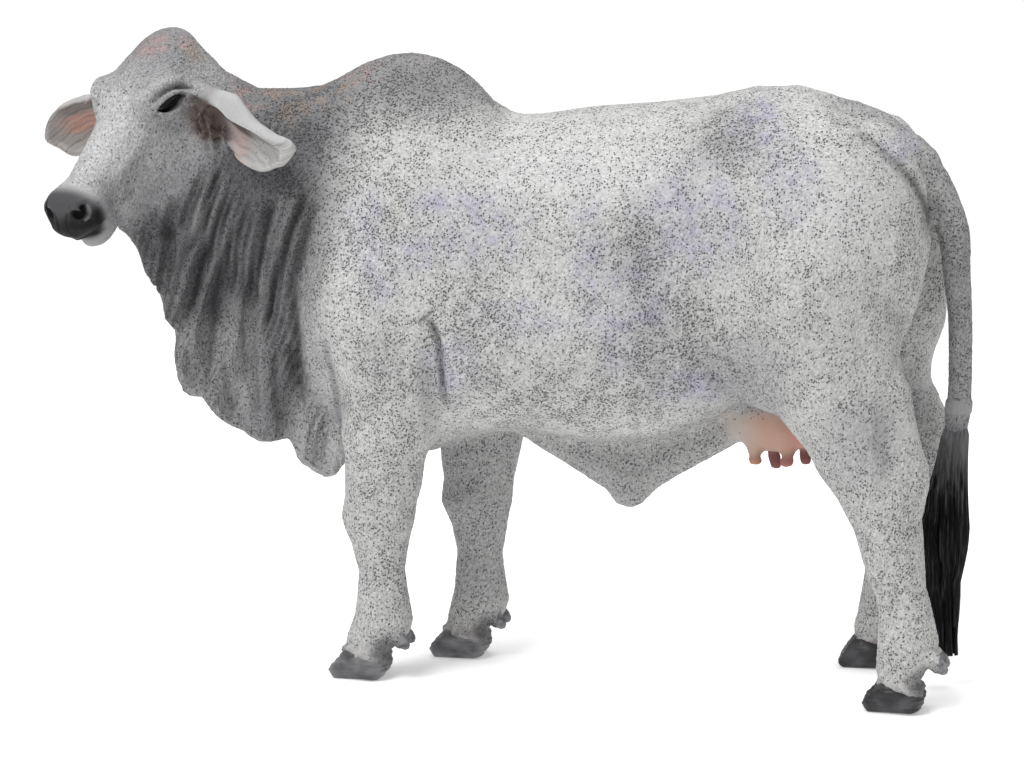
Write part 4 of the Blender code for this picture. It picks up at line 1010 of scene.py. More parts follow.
def tuft_strand(share: float, depth: float, width: float) -> Crease:
    """Return one strand of the hair before the ear.

    Args:
        share: Which strand, from the first at 0 to the last at 1.
        depth: The groove's depth in millimetres.
        width: Its width in millimetres.

    Returns:
        The strand.
    """
    corners = np.array(TUFT_ENDS)
    path = np.array([[np.interp(2 * share, (0, 1, 2), corners[:, k, axis]) for axis in range(3)]
                     for k in range(3)])
    return Crease(tuple(map(tuple, path)), depth, width)


EAR_TUFT = tuple(tuft_strand(share, 0.35, 0.20) for share in np.linspace(0.0, 1.0, 11))
TUFT_BED = tuple(tuft_strand(share, 0.0, 1.3) for share in (0.0, 0.33, 0.66, 1.0))
CREASES = (BROW, LID_CREASE, UPPER_LID, LOWER_LID, UNDER_LID, TEAR_LINE, EYE_TAIL, CHEEK_RIDGE,
           CHEEK_HOLLOW, TRAGUS, TRAGUS_FRONT, MOUTH, MOUTH_CORNER, NOSTRIL, NOSTRIL_RIM, NOSTRIL_FOLD,
           *EAR_TUFT)


def hair_lines(places: Array) -> Array:
    """Return uneven lines along the ears, from -1 to 1 across them, at places of the head."""
    rise, out = places[:, 1], places[:, 2]
    across = rise + 0.45 * out + 0.25 * np.sin(0.55 * out) + 0.12 * np.sin(1.7 * out + 1.0)
    lines = (0.45 * np.sin(2 * pi * across / 0.83) + 0.35 * np.sin(2 * pi * (across - 0.05 * out) / 0.47)
             + 0.30 * np.sin(2 * pi * (across + 0.08 * out) / 1.9 + 0.6))
    return np.clip(lines, -1.0, 1.0)


def eye_opening(places: Array, grow: float = 0.0) -> Array:
    """Return a mask of the almond between the lids.

    Args:
        places: Along, rise and distance from the middle of the head.
        grow: How far outside the lids' edges it reaches, in millimetres.

    Returns:
        1 between the lids and 0 outside, with a crisp edge.
    """
    middle, long, tall = np.array((-0.15, 3.2)), 3.0 + grow, 0.92 + grow
    lean = radians(21)
    flat = places[:, :2] - middle
    u = flat[:, 0] * cos(lean) + flat[:, 1] * sin(lean)
    v = -flat[:, 0] * sin(lean) + flat[:, 1] * cos(lean)
    share = 1.0 - (np.abs(u) / long) ** 1.9
    edge = tall * np.sign(share) * np.abs(share) ** 0.8
    return smooth(edge - np.abs(v - 0.05), -0.20, 0.20) * smooth(places[:, 2], 5.5, 6.5)


@dataclass
class Skin:
    """The skin of the figure, from muzzle to tail ring and down to the coronets.

    It is one net, sculpted and painted whole, and then cut into pieces that share their edges.
    """

    figure: Figure
    overlap: float = 0.24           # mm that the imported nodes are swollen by, to close their gaps
    depth: float = 0.10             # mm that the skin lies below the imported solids
    cell: float = 0.29              # mm between the points of the net
    rounds: int = 60                # of smoothing where the form is plain
    cuff_cell: float = 0.30         # mm between the points of a cuff
    cuff_narrow: float = 0.6        # share of its width that a claw or dewclaw keeps below its cuff
    claw_cuff: float = 0.38         # mm that the coat stands out over a claw
    dewclaw_cuff: float = 0.24      # mm that it stands out round a dewclaw's root
    bare_heel: float = 0.4          # mm of a claw's heel that the coat leaves free
    bare_horn: float = 1.3          # mm of a dewclaw's tip that it leaves free

    EYE_DEPTH = 0.95                # mm
    TEAT_SWELL = 0.28               # mm
    PLEAT_DEPTH, PLEAT_SPACING = 0.13, 1.30             # mm
    RING_HEIGHT, TAIL_SWELL = 0.22, 0.12                # mm
    CORONET_HEIGHT, CORONET_BACK, CORONET_SLOPE = 4.6, 2.4, 0.30    # the coat's edge, see coronet
    SPOKES = 24                     # points round the tail's lower end
    FLESH = ("head", "ear_left", "ear_right", "neck", "dewlap", "hump", "torso", "navel_flap",
             "udder", "foreleg_left", "foreleg_right", "hindleg_left", "hindleg_right", "tail")
    PIECES = {"coat_head": ("head", "ear_left", "ear_right"), "coat_neck": ("neck", "dewlap"),
              "coat_trunk": ("hump", "torso", "navel_flap", "udder"),
              "coat_forelegs": ("foreleg_left", "foreleg_right"),
              "coat_hindlegs": ("hindleg_left", "hindleg_right"), "coat_tail": ("tail",)}
    TRUNK_CUTS = (-6.0, 20.0)       # x of the cuts between the trunk's pieces
    NOSTRIL_PLACE = (20.2, 0.5, 2.5)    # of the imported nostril's filling, on the head's axes
    NOSTRIL_RADII = (2.6, 1.7, 2.4)
    TEATS = ((34.8, -3.0), (39.8, -2.6), (36.8, 3.0), (41.8, 2.6))      # x and y
    TAIL_END = (                    # x, z and half widths of the tail down to the hair
        (64.7, 60.5, 1.80, 1.80), (65.0, 56.0, 1.76, 1.78), (65.1, 52.0, 1.76, 1.74),
        (65.15, 48.0, 1.74, 1.68), (65.1, 45.0, 1.76, 1.64), (65.0, 43.0, 1.84, 1.60),
        (64.8, 41.2, 1.86, 1.50), (64.7, 39.8, 1.66, 1.25), (64.6, 38.8, 1.30, 0.90))

    def build(self, material: Material) -> None:
        """Make the skin's pieces, paint them and hand them to the frame.

        Args:
            material: The coat's paint.
        """
        surface = self.fused()
        nearest = self.nearest_nodes(surface.points)
        regions = Regions(self.figure, surface, nearest, self.FLESH)
        self.sculpt(surface, regions)
        coat = Painter(self.figure, surface, regions).coat()
        moved = Surface((surface.points + self.figure.shift) * METRES, surface.faces)
        moved = CoatRidges().shaped(moved, coat["relief"], coat["lie"])
        self.cut(moved, nearest, coat, material)

    def fused(self) -> Surface:
        """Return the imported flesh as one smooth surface.

        Returns:
            The surface, a little below the solids.
        """
        parts = []
        for name in self.FLESH:
            part = Surface.of_node(name, self.figure)
            part.push(self.overlap)
            parts.append(part)
        parts += self.plugs() + self.cuffs()
        parts.append(self.tail_end())
        surface = join(parts).remeshed(self.cell).largest()
        surface.relax(self.rounds, self.plainness(surface.points))
        surface.relax(3, 1.0)
        surface.push(-(self.overlap + self.depth))
        return surface

    def plugs(self) -> list[Surface]:
        """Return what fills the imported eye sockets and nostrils, for finer ones to be carved there."""
        plugs = []
        for side, sign in (("left", 1), ("right", -1)):
            eye = Surface.of_node("eye_" + side, self.figure)
            eye.push(self.overlap)
            nostril = Eyes.bead(12, 20)
            along, rise, near = self.NOSTRIL_PLACE
            nostril.points = (self.figure.at_head(along, rise, sign * near)
                              + (nostril.points * self.NOSTRIL_RADII) @ self.figure.head_axes)
            plugs += [eye, nostril]
        return plugs

    def cuffs(self) -> list[Surface]:
        """Return the coat's edge over each claw and round the root of each dewclaw, as lumps."""
        lumps = []
        for name in sorted(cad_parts):
            if "_claw_" not in name and "_dewclaw_" not in name:
                continue
            lump = Surface.of_node(name, self.figure).remeshed(self.cuff_cell)
            low, high = lump.points.min(axis=0), lump.points.max(axis=0)
            middle = (low + high) / 2
            x, z = lump.points[:, 0], lump.points[:, 2]
            if "_dewclaw_" in name:
                beyond = x > high[0] - self.bare_horn
                x[beyond] = high[0] - self.bare_horn
                across = lump.points[beyond, 1:] - middle[1:]
                lump.points[beyond, 1:] = middle[1:] + self.cuff_narrow * across
                lump.push(self.overlap + self.dewclaw_cuff)
            else:
                beyond = z < self.coronet(x, low[0])
                across = lump.points[beyond, :2] - middle[:2]
                lump.points[beyond, :2] = middle[:2] + self.cuff_narrow * across
                z[beyond] = self.coronet(x, low[0])[beyond]
                x[x > high[0] - self.bare_heel] = high[0] - self.bare_heel
                lump.push(self.overlap + self.claw_cuff)
            lumps.append(lump)
        return lumps

    @staticmethod
    def coronet(x: Array, toe: float) -> Array:
        """Return the height of the coat's edge over a claw whose tip lies at x = toe."""
        return Skin.CORONET_HEIGHT - Skin.CORONET_SLOPE * (x - toe - Skin.CORONET_BACK)

    def tail_end(self) -> Surface:
        """Return the even lower end of the tail, which reaches down under the hair."""
        turn = 2 * pi * np.arange(self.SPOKES) / self.SPOKES
        rows = curve_through(self.TAIL_END, 4)
        rings = np.array([np.stack([x + (wide + self.overlap) * np.cos(turn),
                                    (deep + self.overlap) * np.sin(turn), np.full(self.SPOKES, z)], axis=1)
                          for x, z, wide, deep in rows])
        return tube(rings)

    def plainness(self, points: Array) -> Array:
        """Return how plain the form is at points: 1 on the barrel, near 0 on lids, lips and ears."""
        head = self.figure.on_head(points)
        on_head = smooth(points[:, 0], -36.0, -43.0) * smooth(points[:, 2], 66.0, 72.0)
        fine = np.maximum.reduce([
            0.88 * on_head,
            0.75 * smooth(points[:, 2], 8.0, 5.0),
            0.65 * smooth(points[:, 0], -29.0, -33.0),
            0.80 * ball(points, (37.8, 0.0, 37.0), (7.0, 6.0, 4.5)),
            0.50 * smooth(np.abs(head[:, 2]), 9.0, 11.0) * on_head,
            0.80 * smooth(points[:, 0], 59.5, 61.5) * smooth(points[:, 2], 52.0, 48.0),
        ])
        return 1.0 - fine

    def nearest_nodes(self, points: Array) -> Array:
        """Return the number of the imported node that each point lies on.

        Args:
            points: The skin's points.

        Returns:
            For each point, the place of its node in FLESH.
        """
        spots, owners = [], []
        for number, name in enumerate(self.FLESH):
            surface = Surface.of_node(name, self.figure)
            corners = surface.points[surface.faces[0]]
            for weights in ((1, 0, 0), (0, 1, 0), (0, 0, 1), (0.5, 0.5, 0), (0, 0.5, 0.5),
                            (0.5, 0, 0.5), (1 / 3, 1 / 3, 1 / 3)):
                spots.append(np.einsum("k,nkj->nj", weights, corners))
                owners.append(np.full(len(corners), number))
        places, owner = np.concatenate(spots), np.concatenate(owners)
        tree = KDTree(len(places))
        for number, place in enumerate(places):
            tree.insert(place, number)
        tree.balance()
        return owner[[tree.find(point)[1] for point in points]]

    def sculpt(self, surface: Surface, regions: "Regions") -> None:
        """Press the folds, wrinkles and ridges into the surface.

        Args:
            surface: The surface, changed in place.
            regions: Its regions.
        """
        points = surface.points
        places = regions.places
        groove = np.zeros(len(points))
        for fold in NECK_FOLDS + NECK_RIDGES + BODY_FOLDS:
            groove += fold.depth * fold.on(points)
        groove *= 1.0 - regions.crisp["ears"]
        on_head = regions.is_head
        for crease in CREASES:
            depth = np.where(regions.sides > 0, 1.0, crease.right) * crease.depth
            groove += depth * crease.on(places) * on_head
        groove += self.EYE_DEPTH * eye_opening(places) * on_head
        facing = smooth(np.abs(surface.normals()[:, 1]), 0.35, 0.80)
        groove += self.pleats(points) * regions.wide["front"] * facing
        for x, y in self.TEATS:
            groove -= self.TEAT_SWELL * ball(points, (x, y, 33.2), (2.0, 2.0, 1.5), 0.4)
        surface.push(-groove)
        surface.push(self.ear_ridges(places, regions) + self.tail_ring(surface.points, regions))
        free = 1.0 - regions.wide["tail"]
        for bulge in BULGES:
            surface.points = bulge.apply(surface.points, self.figure, free)
        surface.points[:, 2] -= self.ear_drop(regions)
        surface.relax(1, 0.5)
        surface.relax(12, ball(surface.points, (59.5, 0.0, 79.5), (6.0, 2.2, 7.0), 0.5))

    @staticmethod
    def pleats(points: Array) -> Array:
        """Return the depth of the fine pleats between the neck's folds.

        Args:
            points: The skin's points.

        Returns:
            The depth in millimetres, below 0 on a crest. It is less on the right side.
        """
        x, z = points[:, 0], points[:, 2]
        phase = (x - 0.38 * z + 0.7 * np.sin(z / 5.0)) / Skin.PLEAT_SPACING
        swell = 0.55 + 0.45 * np.sin(z / 6.0 + x / 2.7)
        near = 0.30 + 0.70 * smooth(points[:, 1], 4.0, -2.0)
        return Skin.PLEAT_DEPTH * near * swell * np.sin(2 * pi * phase)

    @staticmethod
    def ear_drop(regions: "Regions") -> Array:
        """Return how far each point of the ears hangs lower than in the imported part, in mm."""
        out, height = regions.places[:, 2], regions.ear_height
        near = smooth(out, 11.5, 17.5) * smooth(out, 28.0, 22.5) * (0.9 + 2.0 * height)
        near *= 1.0 - 0.95 * smooth(height, 0.86, 1.0) * smooth(out, 20.5, 16.0)
        low = smooth(height, 0.5, 0.0)
        near += low * (1.0 * smooth(out, 12.5, 15.5) * smooth(out, 23.0, 19.0)
                       - 0.9 * smooth(out, 23.0, 26.5))
        far = 1.4 * smooth(out, 10.0, 14.0) - 0.8 * low * smooth(out, 20.5, 23.5)
        return np.where(regions.sides > 0, near, far) * np.clip(1.6 * regions.crisp["ears"], 0.0, 1.0)

    @staticmethod
    def ear_ridges(places: Array, regions: "Regions") -> Array:
        """Return the height of the hair ridges that run along the cup of each ear."""
        out = places[:, 2]
        return 0.05 * regions.crisp["ears"] * smooth(out, 12.0, 15.0) * hair_lines(places)

    @staticmethod
    def tail_ring(points: Array, regions: "Regions") -> Array:
        """Return the height of the moulded ring above the switch, and of the tail round it."""
        z = points[:, 2]
        band = smooth(z, 44.3, 43.9) * smooth(z, 41.9, 42.4)
        on_tail = smooth(points[:, 0], 61.0, 62.0) * smooth(z, 56.0, 50.0)
        return Skin.RING_HEIGHT * band * on_tail + Skin.TAIL_SWELL * regions.wide["tail"]

    def cut(self, surface: Surface, nearest: Array, coat: dict[str, Array],
            material: Material) -> None:
        """Cut the finished skin into its pieces and hand them to the frame.

        Args:
            surface: The skin, in metres.
            nearest: The number of each point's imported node.
            coat: The attributes of its points.
            material: The coat's paint.
        """
        normals = surface.normals()
        quads = surface.faces[0] if surface.faces[0].shape[1] == 4 else surface.faces[1]
        owner = nearest[quads[:, 0]]
        middle = surface.points[quads].mean(axis=1)[:, 0] / METRES - self.figure.shift[0]
        part = np.digitize(middle, self.TRUNK_CUTS)
        for name, nodes in self.PIECES.items():
            own = np.isin(owner, [self.FLESH.index(node) for node in nodes])
            for number in range(len(self.TRUNK_CUTS) + 1) if name == "coat_trunk" else (None,):
                chosen = quads[own] if number is None else quads[own & (part == number)]
                label = name if number is None else f"{name}_{number + 1}"
                kept, corners = np.unique(chosen, return_inverse=True)
                piece = Surface(surface.points[kept], [corners.reshape(-1, 4)])
                item = new_item(label, piece.to_mesh(label))
                for key, kind in Painter.ATTRIBUTES.items():
                    store(item.data, key, kind, coat[key][kept])
                dress(item, material,
                      nodes + ("tail_switch",) if name == "coat_tail" else nodes)
                item.data.normals_split_custom_set_from_vertices(normals[kept])


class Regions:
    """Soft masks of the skin's regions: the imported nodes, and places on the head."""

    CRISP, WIDE = 4, 40             # rounds of mixing that soften a mask's edge
    EAR_STEPS = (10.0, 29.0)        # mm from the head's middle that the ears are measured between

    def __init__(self, figure: Figure, surface: Surface, nearest: Array,
                 nodes: Sequence[str]) -> None:
        """Work the masks out.

        Args:
            figure: The figure's frame.
            surface: The smooth skin.
            nearest: The number of each point's node.
            nodes: The nodes' names.
        """
        head = figure.on_head(surface.points)
        self.sides = head[:, 2]
        self.places = np.stack([head[:, 0], head[:, 1], np.abs(head[:, 2])], axis=1)
        shares = {name: (nearest == number).astype(float) for number, name in enumerate(nodes)}
        shares["ears"] = shares["ear_left"] + shares["ear_right"]
        shares["front"] = shares["neck"] + shares["dewlap"]
        columns = ("head", "ears", "front", "udder", "tail", "hump")
        hard = np.stack([shares[name] for name in columns], axis=1)
        crisp = np.concatenate([surface.blurred(hard[:, k:k + 3], self.CRISP) for k in (0, 3)], axis=1)
        wide = np.concatenate([surface.blurred(crisp[:, k:k + 3], self.WIDE) for k in (0, 3)], axis=1)
        self.crisp = dict(zip(columns, crisp.T))
        self.wide = dict(zip(columns, wide.T))
        skull = np.maximum(self.wide["head"] + self.wide["ears"], crisp[:, 0] + crisp[:, 1])
        self.is_head = np.clip(skull * 1.2, 0.0, 1.0)
        self.ear_height = self.height_on_ear(surface.points[:, 2])

    def height_on_ear(self, z: Array) -> Array:
        """Measure how high each point lies on its ear.

        Args:
            z: The height of each point of the skin.

        Returns:
            0 at the ear's lower edge and 1 at its upper one.
        """
        height = np.zeros(len(z))
        steps = np.arange(*self.EAR_STEPS, 1.0)
        for sign in (1, -1):
            own = (self.crisp["ears"] > 0.5) & (self.sides * sign > 0)
            out = self.places[own, 2]
            inside = [own.nonzero()[0][np.abs(out - step) < 1.0] for step in steps]
            pairs = [(step, z[spots].min(), z[spots].max()) for step, spots in zip(steps, inside)
                     if len(spots)]
            spread = np.array(pairs)
            mine = self.sides * sign > 0
            low = np.interp(self.places[mine, 2], spread[:, 0], spread[:, 1])
            high = np.interp(self.places[mine, 2], spread[:, 0], spread[:, 2])
            height[mine] = np.clip((z[mine] - low) / np.maximum(high - low, 0.5), 0.0, 1.0)
        return height


@dataclass
class Painter:
    """Sprays the skin: it lays one soft colour over another, each on a place of the cow."""

    figure: Figure
    surface: Surface
    regions: Regions

    ATTRIBUTES = {"paint": "FLOAT_COLOR", "freckle": "FLOAT", "relief": "FLOAT",
                  "lie": "FLOAT_VECTOR"}
    COAT, PALE, HAZE, SHADE = "C3C3C1", "CECECE", "979799", "7E7E80"
    VIOLET, ROSE, OCHRE, UMBER = "A19DBE", "B08F8D", "978474", "6E5D58"
    # the third is painted highlight on the neck's crests and the dewlap's lobes
    NECK, FOLD, LOBE = "575759", "2E2E30", "8E8E8F"
    # the third is painted shadow for the groove between the tail and the buttock
    CHEST, LOW_LOBE, RUMP_GROOVE, TAIL_TIP = "B0B0B1", "9A9A9B", "2A2A2C", "66666A"
    # the last is painted shade on the udder's underside
    UDDER_TOP, UDDER_SIDE, UDDER_PINK, UDDER_UNDER = "ABA098", "AE8A79", "B47F74", "86665A"
    # the near two teats, then the far two in darker paint: painted shade on the far side
    TEATS = ("A5775F", "9E6660", "774849", "744648")
    CORONET, DEWCLAW_WASH, HEEL_WASH, CLAW_WASH = "75595C", "626264", "4C4C4E", "5A5A5C"
    # the last three are painted highlight on the nose's bridge, the brow and the cheek's ridge
    SKULL, POLL, BRIDGE, BROW_LIGHT, CHEEK_LIGHT = "9D9D9E", "848486", "C5C5C5", "B8B8B8", "B5B5B5"
    # the second is painted shade for the creases round the eye, the third painted highlight on the upper
    # lid
    LID, LID_LINE, LID_LIGHT, EYE, TRAGUS_LINE = "2B2A2B", "4A4849", "ABA9A9", "0A090A", "3B3231"
    # the last is painted highlight on the nostrils' rims
    NOSE, LIPS, CHIN, NOSTRIL, NOSTRIL_LIGHT = "434345", "070708", "8C8C8C", "0E0E0F", "6E6E70"
    EAR_BACK, FAR_CUP, FAR_SHADE, FAR_PINK = "B4B4B4", "8B8785", "635A57", "AE7B69"
    FAR_EDGE, FAR_LINE, FAR_HAIR = "C0BDBB", "5C5553", "B7A699"
    NEAR_CUP, NEAR_PINK, NEAR_SHADE, NEAR_GREY = "B3B1B0", "B39A94", "4A403D", "7F7C7B"
    NEAR_LINE, NEAR_HAIR = "6F6866", "D2D0CE"
    TUFT, TUFT_DARK, TUFT_PALE = "574A46", "241F1E", "9A867C"
    PATCHES = (                     # colour, cover, and the places seen from the side
        # painted highlight along the top of the back, on the rump and on the shoulder
        (PALE, 0.75, ((6.0, 79.0, 26.0, 6.0), (48.0, 74.0, 9.0, 12.0), (-24.0, 66.0, 4.0, 10.0))),
        (HAZE, 0.45, ((22.0, 54.0, 9.0, 9.0), (-19.0, 50.0, 4.0, 6.0), (18.0, 67.0, 5.0, 6.0),
                      (32.0, 84.0, 6.0, 4.0))),
        (HAZE, 0.75, ((35.5, 49.0, 8.0, 8.0), (52.0, 41.0, 8.0, 8.0))),
        (HAZE, 0.30, ((46.0, 56.0, 9.0, 7.0),)),
        (HAZE, 0.25, ((7.0, 49.0, 15.0, 5.0),)))

    def coat(self) -> dict[str, Array]:
        """Return what the paint reads at each point: ATTRIBUTES, by name."""
        points = self.points = self.surface.points
        self.places = self.regions.places
        self.paint = np.tile(colour(self.COAT), (len(points), 1))
        self.spray_body()
        self.spray_neck()
        self.spray_head()
        self.spray_ears()
        freckle, relief = self.texture()
        return {"paint": np.concatenate([self.paint, np.ones((len(points), 1))], axis=1),
                "freckle": freckle, "relief": relief, "lie": self.lie()}

    def lay(self, code: str, mask: Array, strength: float = 1.0) -> None:
        """Lay a colour over the paint so far, where the mask is and as well as its strength covers."""
        share = np.clip(mask * strength, 0.0, 1.0)[:, None]
        self.paint = self.paint * (1.0 - share) + np.array(colour(code)) * share

    def spots(self, places: Sequence[tuple[float, float, float, float]], wide: float = 30.0) -> Array:
        """Return a soft mask of patches on both sides of the cow.

        Args:
            places: The x, z and two radii of each patch, seen from the side.
            wide: How far the patches reach to either side of the middle plane, in millimetres.

        Returns:
            The mask, from 0 to 1 at each point.
        """
        mask = np.zeros(len(self.points))
        for x, z, long, tall in places:
            mask = np.maximum(mask, ball(self.points, (x, 0.0, z), (long, wide, tall), 0.6))
        return mask

    def spray_body(self) -> None:
        """Paint the barrel, hump, legs, tail and udder."""
        points, z = self.points, self.points[:, 2]
        for code, cover, places in self.PATCHES:
            self.lay(code, self.spots(places), cover)
        self.lay(self.HAZE, smooth(z, 40.0, 30.0), 0.22)
        self.lay(self.SHADE, self.spots(((-15.0, 92.5, 12.0, 7.0),)), 0.85)
        self.lay(self.SHADE, self.spots(((-12.9, 47.5, 1.7, 8.5),)), 0.55)
        self.lay(self.SHADE, self.regions.wide["tail"] * smooth(z, 70.0, 78.0), 0.5)
        violet = self.spots(((27.0, 72.0, 8.0, 8.0), (-5.0, 70.0, 8.0, 5.0), (11.5, 65.0, 3.0, 10.0),
                             (-9.0, 49.5, 4.0, 5.0), (36.0, 86.0, 4.0, 4.0), (56.0, 82.6, 2.2, 1.8),
                             (26.0, 47.0, 5.0, 3.0), (-19.5, 63.5, 3.0, 4.6), (16.0, 58.0, 3.0, 8.0),
                             (-14.0, 66.5, 4.0, 3.0), (-9.5, 73.0, 6.0, 3.0), (1.5, 57.0, 7.0, 3.0),
                             (-22.0, 71.0, 3.0, 4.0), (41.0, 78.0, 4.0, 6.0), (20.0, 62.0, 4.0, 7.0)))
        self.lay(self.VIOLET, violet * (0.30 + 0.70 * self.broken(2.0)), 0.50)
        inner = smooth(np.abs(points[:, 1]), 10.0, 5.0) * smooth(z, 52.0, 40.0)
        self.lay(self.SHADE, inner * smooth(z, 4.0, 12.0), 0.35)
        self.lay(self.CORONET, smooth(z, 6.4, 4.6) * self.broken(0.9), 0.45)
        self.spray_heels()
        tail = self.regions.wide["tail"]
        self.lay(self.SHADE, tail * smooth(z, 82.0, 66.0), 0.70)
        self.lay(self.TAIL_TIP, tail * smooth(z, 42.0, 39.0), 0.75)
        udder = self.regions.wide["udder"] * smooth(z, 43.5, 41.0)
        self.lay(self.UDDER_TOP, udder, 1.0)
        self.lay(self.UDDER_SIDE, udder * smooth(points[:, 0], 32.0, 37.0), 0.9)
        self.lay(self.UDDER_PINK, udder * smooth(points[:, 0], 38.0, 42.0) * smooth(z, 35.0, 37.0), 0.8)
        # painted shade on the underside of the udder
        self.lay(self.UDDER_UNDER, udder * smooth(z, 36.6, 35.0) * smooth(points[:, 0], 34.0, 37.0), 0.75)
        # the far teats get darker copies of the teat paint: painted shade
        for (x, y), code in zip(Skin.TEATS, self.TEATS):
            self.lay(code, ball(points, (x, y, 32.3), (2.3, 2.1, 3.2), 0.3), 0.88)

    def spray_heels(self) -> None:
        """Paint the dark wash behind each pastern, on the heels and round the dewclaws."""
        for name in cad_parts:
            if "_claw_" not in name and "_dewclaw_" not in name:
                continue
            low, high = (np.array(corner) / METRES - self.figure.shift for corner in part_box(name))
            middle = (low + high) / 2
            if "_dewclaw_" in name:
                heel = ball(self.points, (high[0] - 1.0, middle[1], low[2] + 0.6), (1.9, 2.4, 1.5), 0.5)
                self.lay(self.DEWCLAW_WASH, heel, 0.50)
            else:
                heel = ball(self.points, (high[0] + 0.3, middle[1], 4.0), (2.7, 3.4, 3.2), 0.45)
                self.lay(self.HEEL_WASH, heel, 0.75)
                edge = smooth(self.points[:, 2] - Skin.coronet(self.points[:, 0], low[0]), 1.1, -0.2)
                self.lay(self.CLAW_WASH, edge * ball(self.points, middle, (7.0, 3.4, 6.0), 0.2), 0.45)

    def broken(self, size: float) -> Array:
        """Return a mask of soft irregular patches.

        Args:
            size: How wide a patch is, in millimetres.

        Returns:
            The mask, from 0 to 1 at each point.
        """
        random = np.random.default_rng(7)
        total = np.zeros(len(self.points))
        for _ in range(14):
            way = random.normal(size=3)
            way *= random.uniform(0.6, 1.7) / np.linalg.norm(way)
            total += np.sin(self.points @ way * (pi / size) + random.uniform(0.0, 6.3))
        return smooth(total, -1.5, 4.0)

    def spray_neck(self) -> None:
        """Paint the dark neck and dewlap, darker folds, painted highlight on crests, warm patches at the
        top.
        """
        points = self.points
        x, z = points[:, 0], points[:, 2]
        front = smooth(x - 0.20 * (z - 60.0), -25.0, -35.0) * smooth(z, 28.0, 36.0)
        self.lay(self.SHADE, front, 0.85)
        deep = smooth(x - 0.20 * (z - 60.0), -30.0, -38.0) * smooth(z, 44.0, 58.0)
        self.lay(self.NECK, deep * smooth(z, 94.0, 82.0), 0.85)
        self.lay(self.NECK, self.spots(((-38.0, 48.0, 3.4, 10.0), (-43.0, 78.0, 7.0, 6.0))), 0.55)
        # painted highlight on the crests of the neck's ridges
        for fold in NECK_RIDGES:
            self.lay(self.LOBE, fold.on(points), 0.55)
        for fold in NECK_FOLDS:
            self.lay(self.FOLD, fold.on(points) * min(1.0, fold.depth + 0.1), 0.85)
        pleat = Skin.pleats(points) / Skin.PLEAT_DEPTH * self.regions.wide["front"]
        self.lay(self.FOLD, np.clip(pleat, 0.0, 1.0), 0.28)
        # painted highlight on the pleats' crests
        self.lay(self.LOBE, np.clip(-pleat, 0.0, 1.0), 0.30)
        self.lay(self.CHEST, self.spots(((-30.3, 51.0, 3.0, 8.0), (-28.8, 40.0, 3.0, 7.0))), 0.80)
        self.lay(self.LOW_LOBE, self.spots(((-43.8, 47.5, 2.4, 8.0), (-50.5, 48.5, 1.6, 6.0))), 0.90)
        # painted highlight on the dewlap's lobes
        self.lay(self.LOBE, self.spots(((-42.0, 48.8, 2.2, 7.0), (-49.0, 50.0, 1.4, 6.0))), 0.60)
        self.lay(self.FOLD, self.spots(((-34.6, 47.0, 1.8, 6.0),)) * self.broken(0.8), 0.55)
        # painted highlight on the front of the dewlap
        self.lay(self.LOBE, ball(points, (-52.5, 0.0, 48.0), (2.4, 12.0, 8.0), 0.5), 0.55)
        for fold in BODY_FOLDS[:3]:
            self.lay(self.SHADE, fold.on(points), 0.70)
        # painted shadow in the groove between the tail and the buttock, darkest low down
        self.lay(self.RUMP_GROOVE, BODY_FOLDS[-1].on(points) * (0.35 + 0.65 * smooth(z, 84.0, 77.0)), 0.75)
        self.lay(self.SHADE, self.spots(((-34.0, 88.0, 10.0, 6.0),)), 0.50)
        self.lay(self.OCHRE, self.spots(((-35.0, 88.0, 5.0, 3.5), (-30.0, 90.0, 4.0, 3.0)))
                 * self.broken(1.6), 0.55)
        self.lay(self.ROSE, self.spots(((-42.0, 89.0, 4.0, 3.0), (-26.0, 92.0, 4.0, 2.0),
                                        (-14.0, 96.5, 6.0, 2.5))) * self.broken(1.3), 0.45)

    def spray_head(self) -> None:
        """Paint the face, muzzle and lids, with painted highlight on ridges and painted shade in creases.
        """
        places = self.places
        along, rise, near = places.T
        ears = self.regions.crisp["ears"]
        skull = np.clip(self.regions.wide["head"] * 1.3, 0.0, 1.0) * (1.0 - ears)
        skull = np.maximum(skull, ears * smooth(near, 12.0, 10.0))
        self.lay(self.SKULL, skull, 0.95)
        # painted highlight on the bridge of the nose, the brow's crest and the cheek's ridge
        self.lay(self.BRIDGE, skull * ball(places, (8.0, 4.6, 0.0), (11.0, 4.0, 5.0), 0.5), 0.85)
        self.lay(self.BROW_LIGHT, skull * BROW.on(places), 0.7)
        self.lay(self.CHEEK_LIGHT, skull * CHEEK_RIDGE.on(places), 0.6)
        self.lay(self.SHADE, skull * smooth(rise + 0.25 * along, 0.5, -6.0), 0.70)
        self.lay(self.HAZE, skull * ball(places, (-3.0, 8.0, 3.0), (3.5, 3.0, 3.0), 0.6), 0.5)
        self.lay(self.POLL, skull * ball(places, (-9.4, 6.0, 1.0), (4.6, 4.0, 6.0), 0.6), 0.80)
        self.lay(self.ROSE, skull * np.maximum(ball(places, (-7.6, 7.2, 1.0), (2.6, 2.0, 2.2), 0.6),
                                               ball(places, (-10.4, 4.8, 4.2), (1.6, 2.0, 1.6), 0.6))
                 * (0.4 + 0.6 * self.broken(1.1)), 0.60)
        self.lay(self.OCHRE, skull * ball(places, (-10.4, 3.5, 5.3), (1.8, 1.8, 2.0), 0.6), 0.40)
        self.lay(self.HAZE, skull * ball(places, (0.4, 3.0, 7.6), (4.6, 2.8, 3.0), 0.5), 0.55)
        self.lay(self.UMBER, skull * ball(places, (-1.2, -1.6, 10.2), (2.2, 3.4, 2.0), 0.6), 0.70)
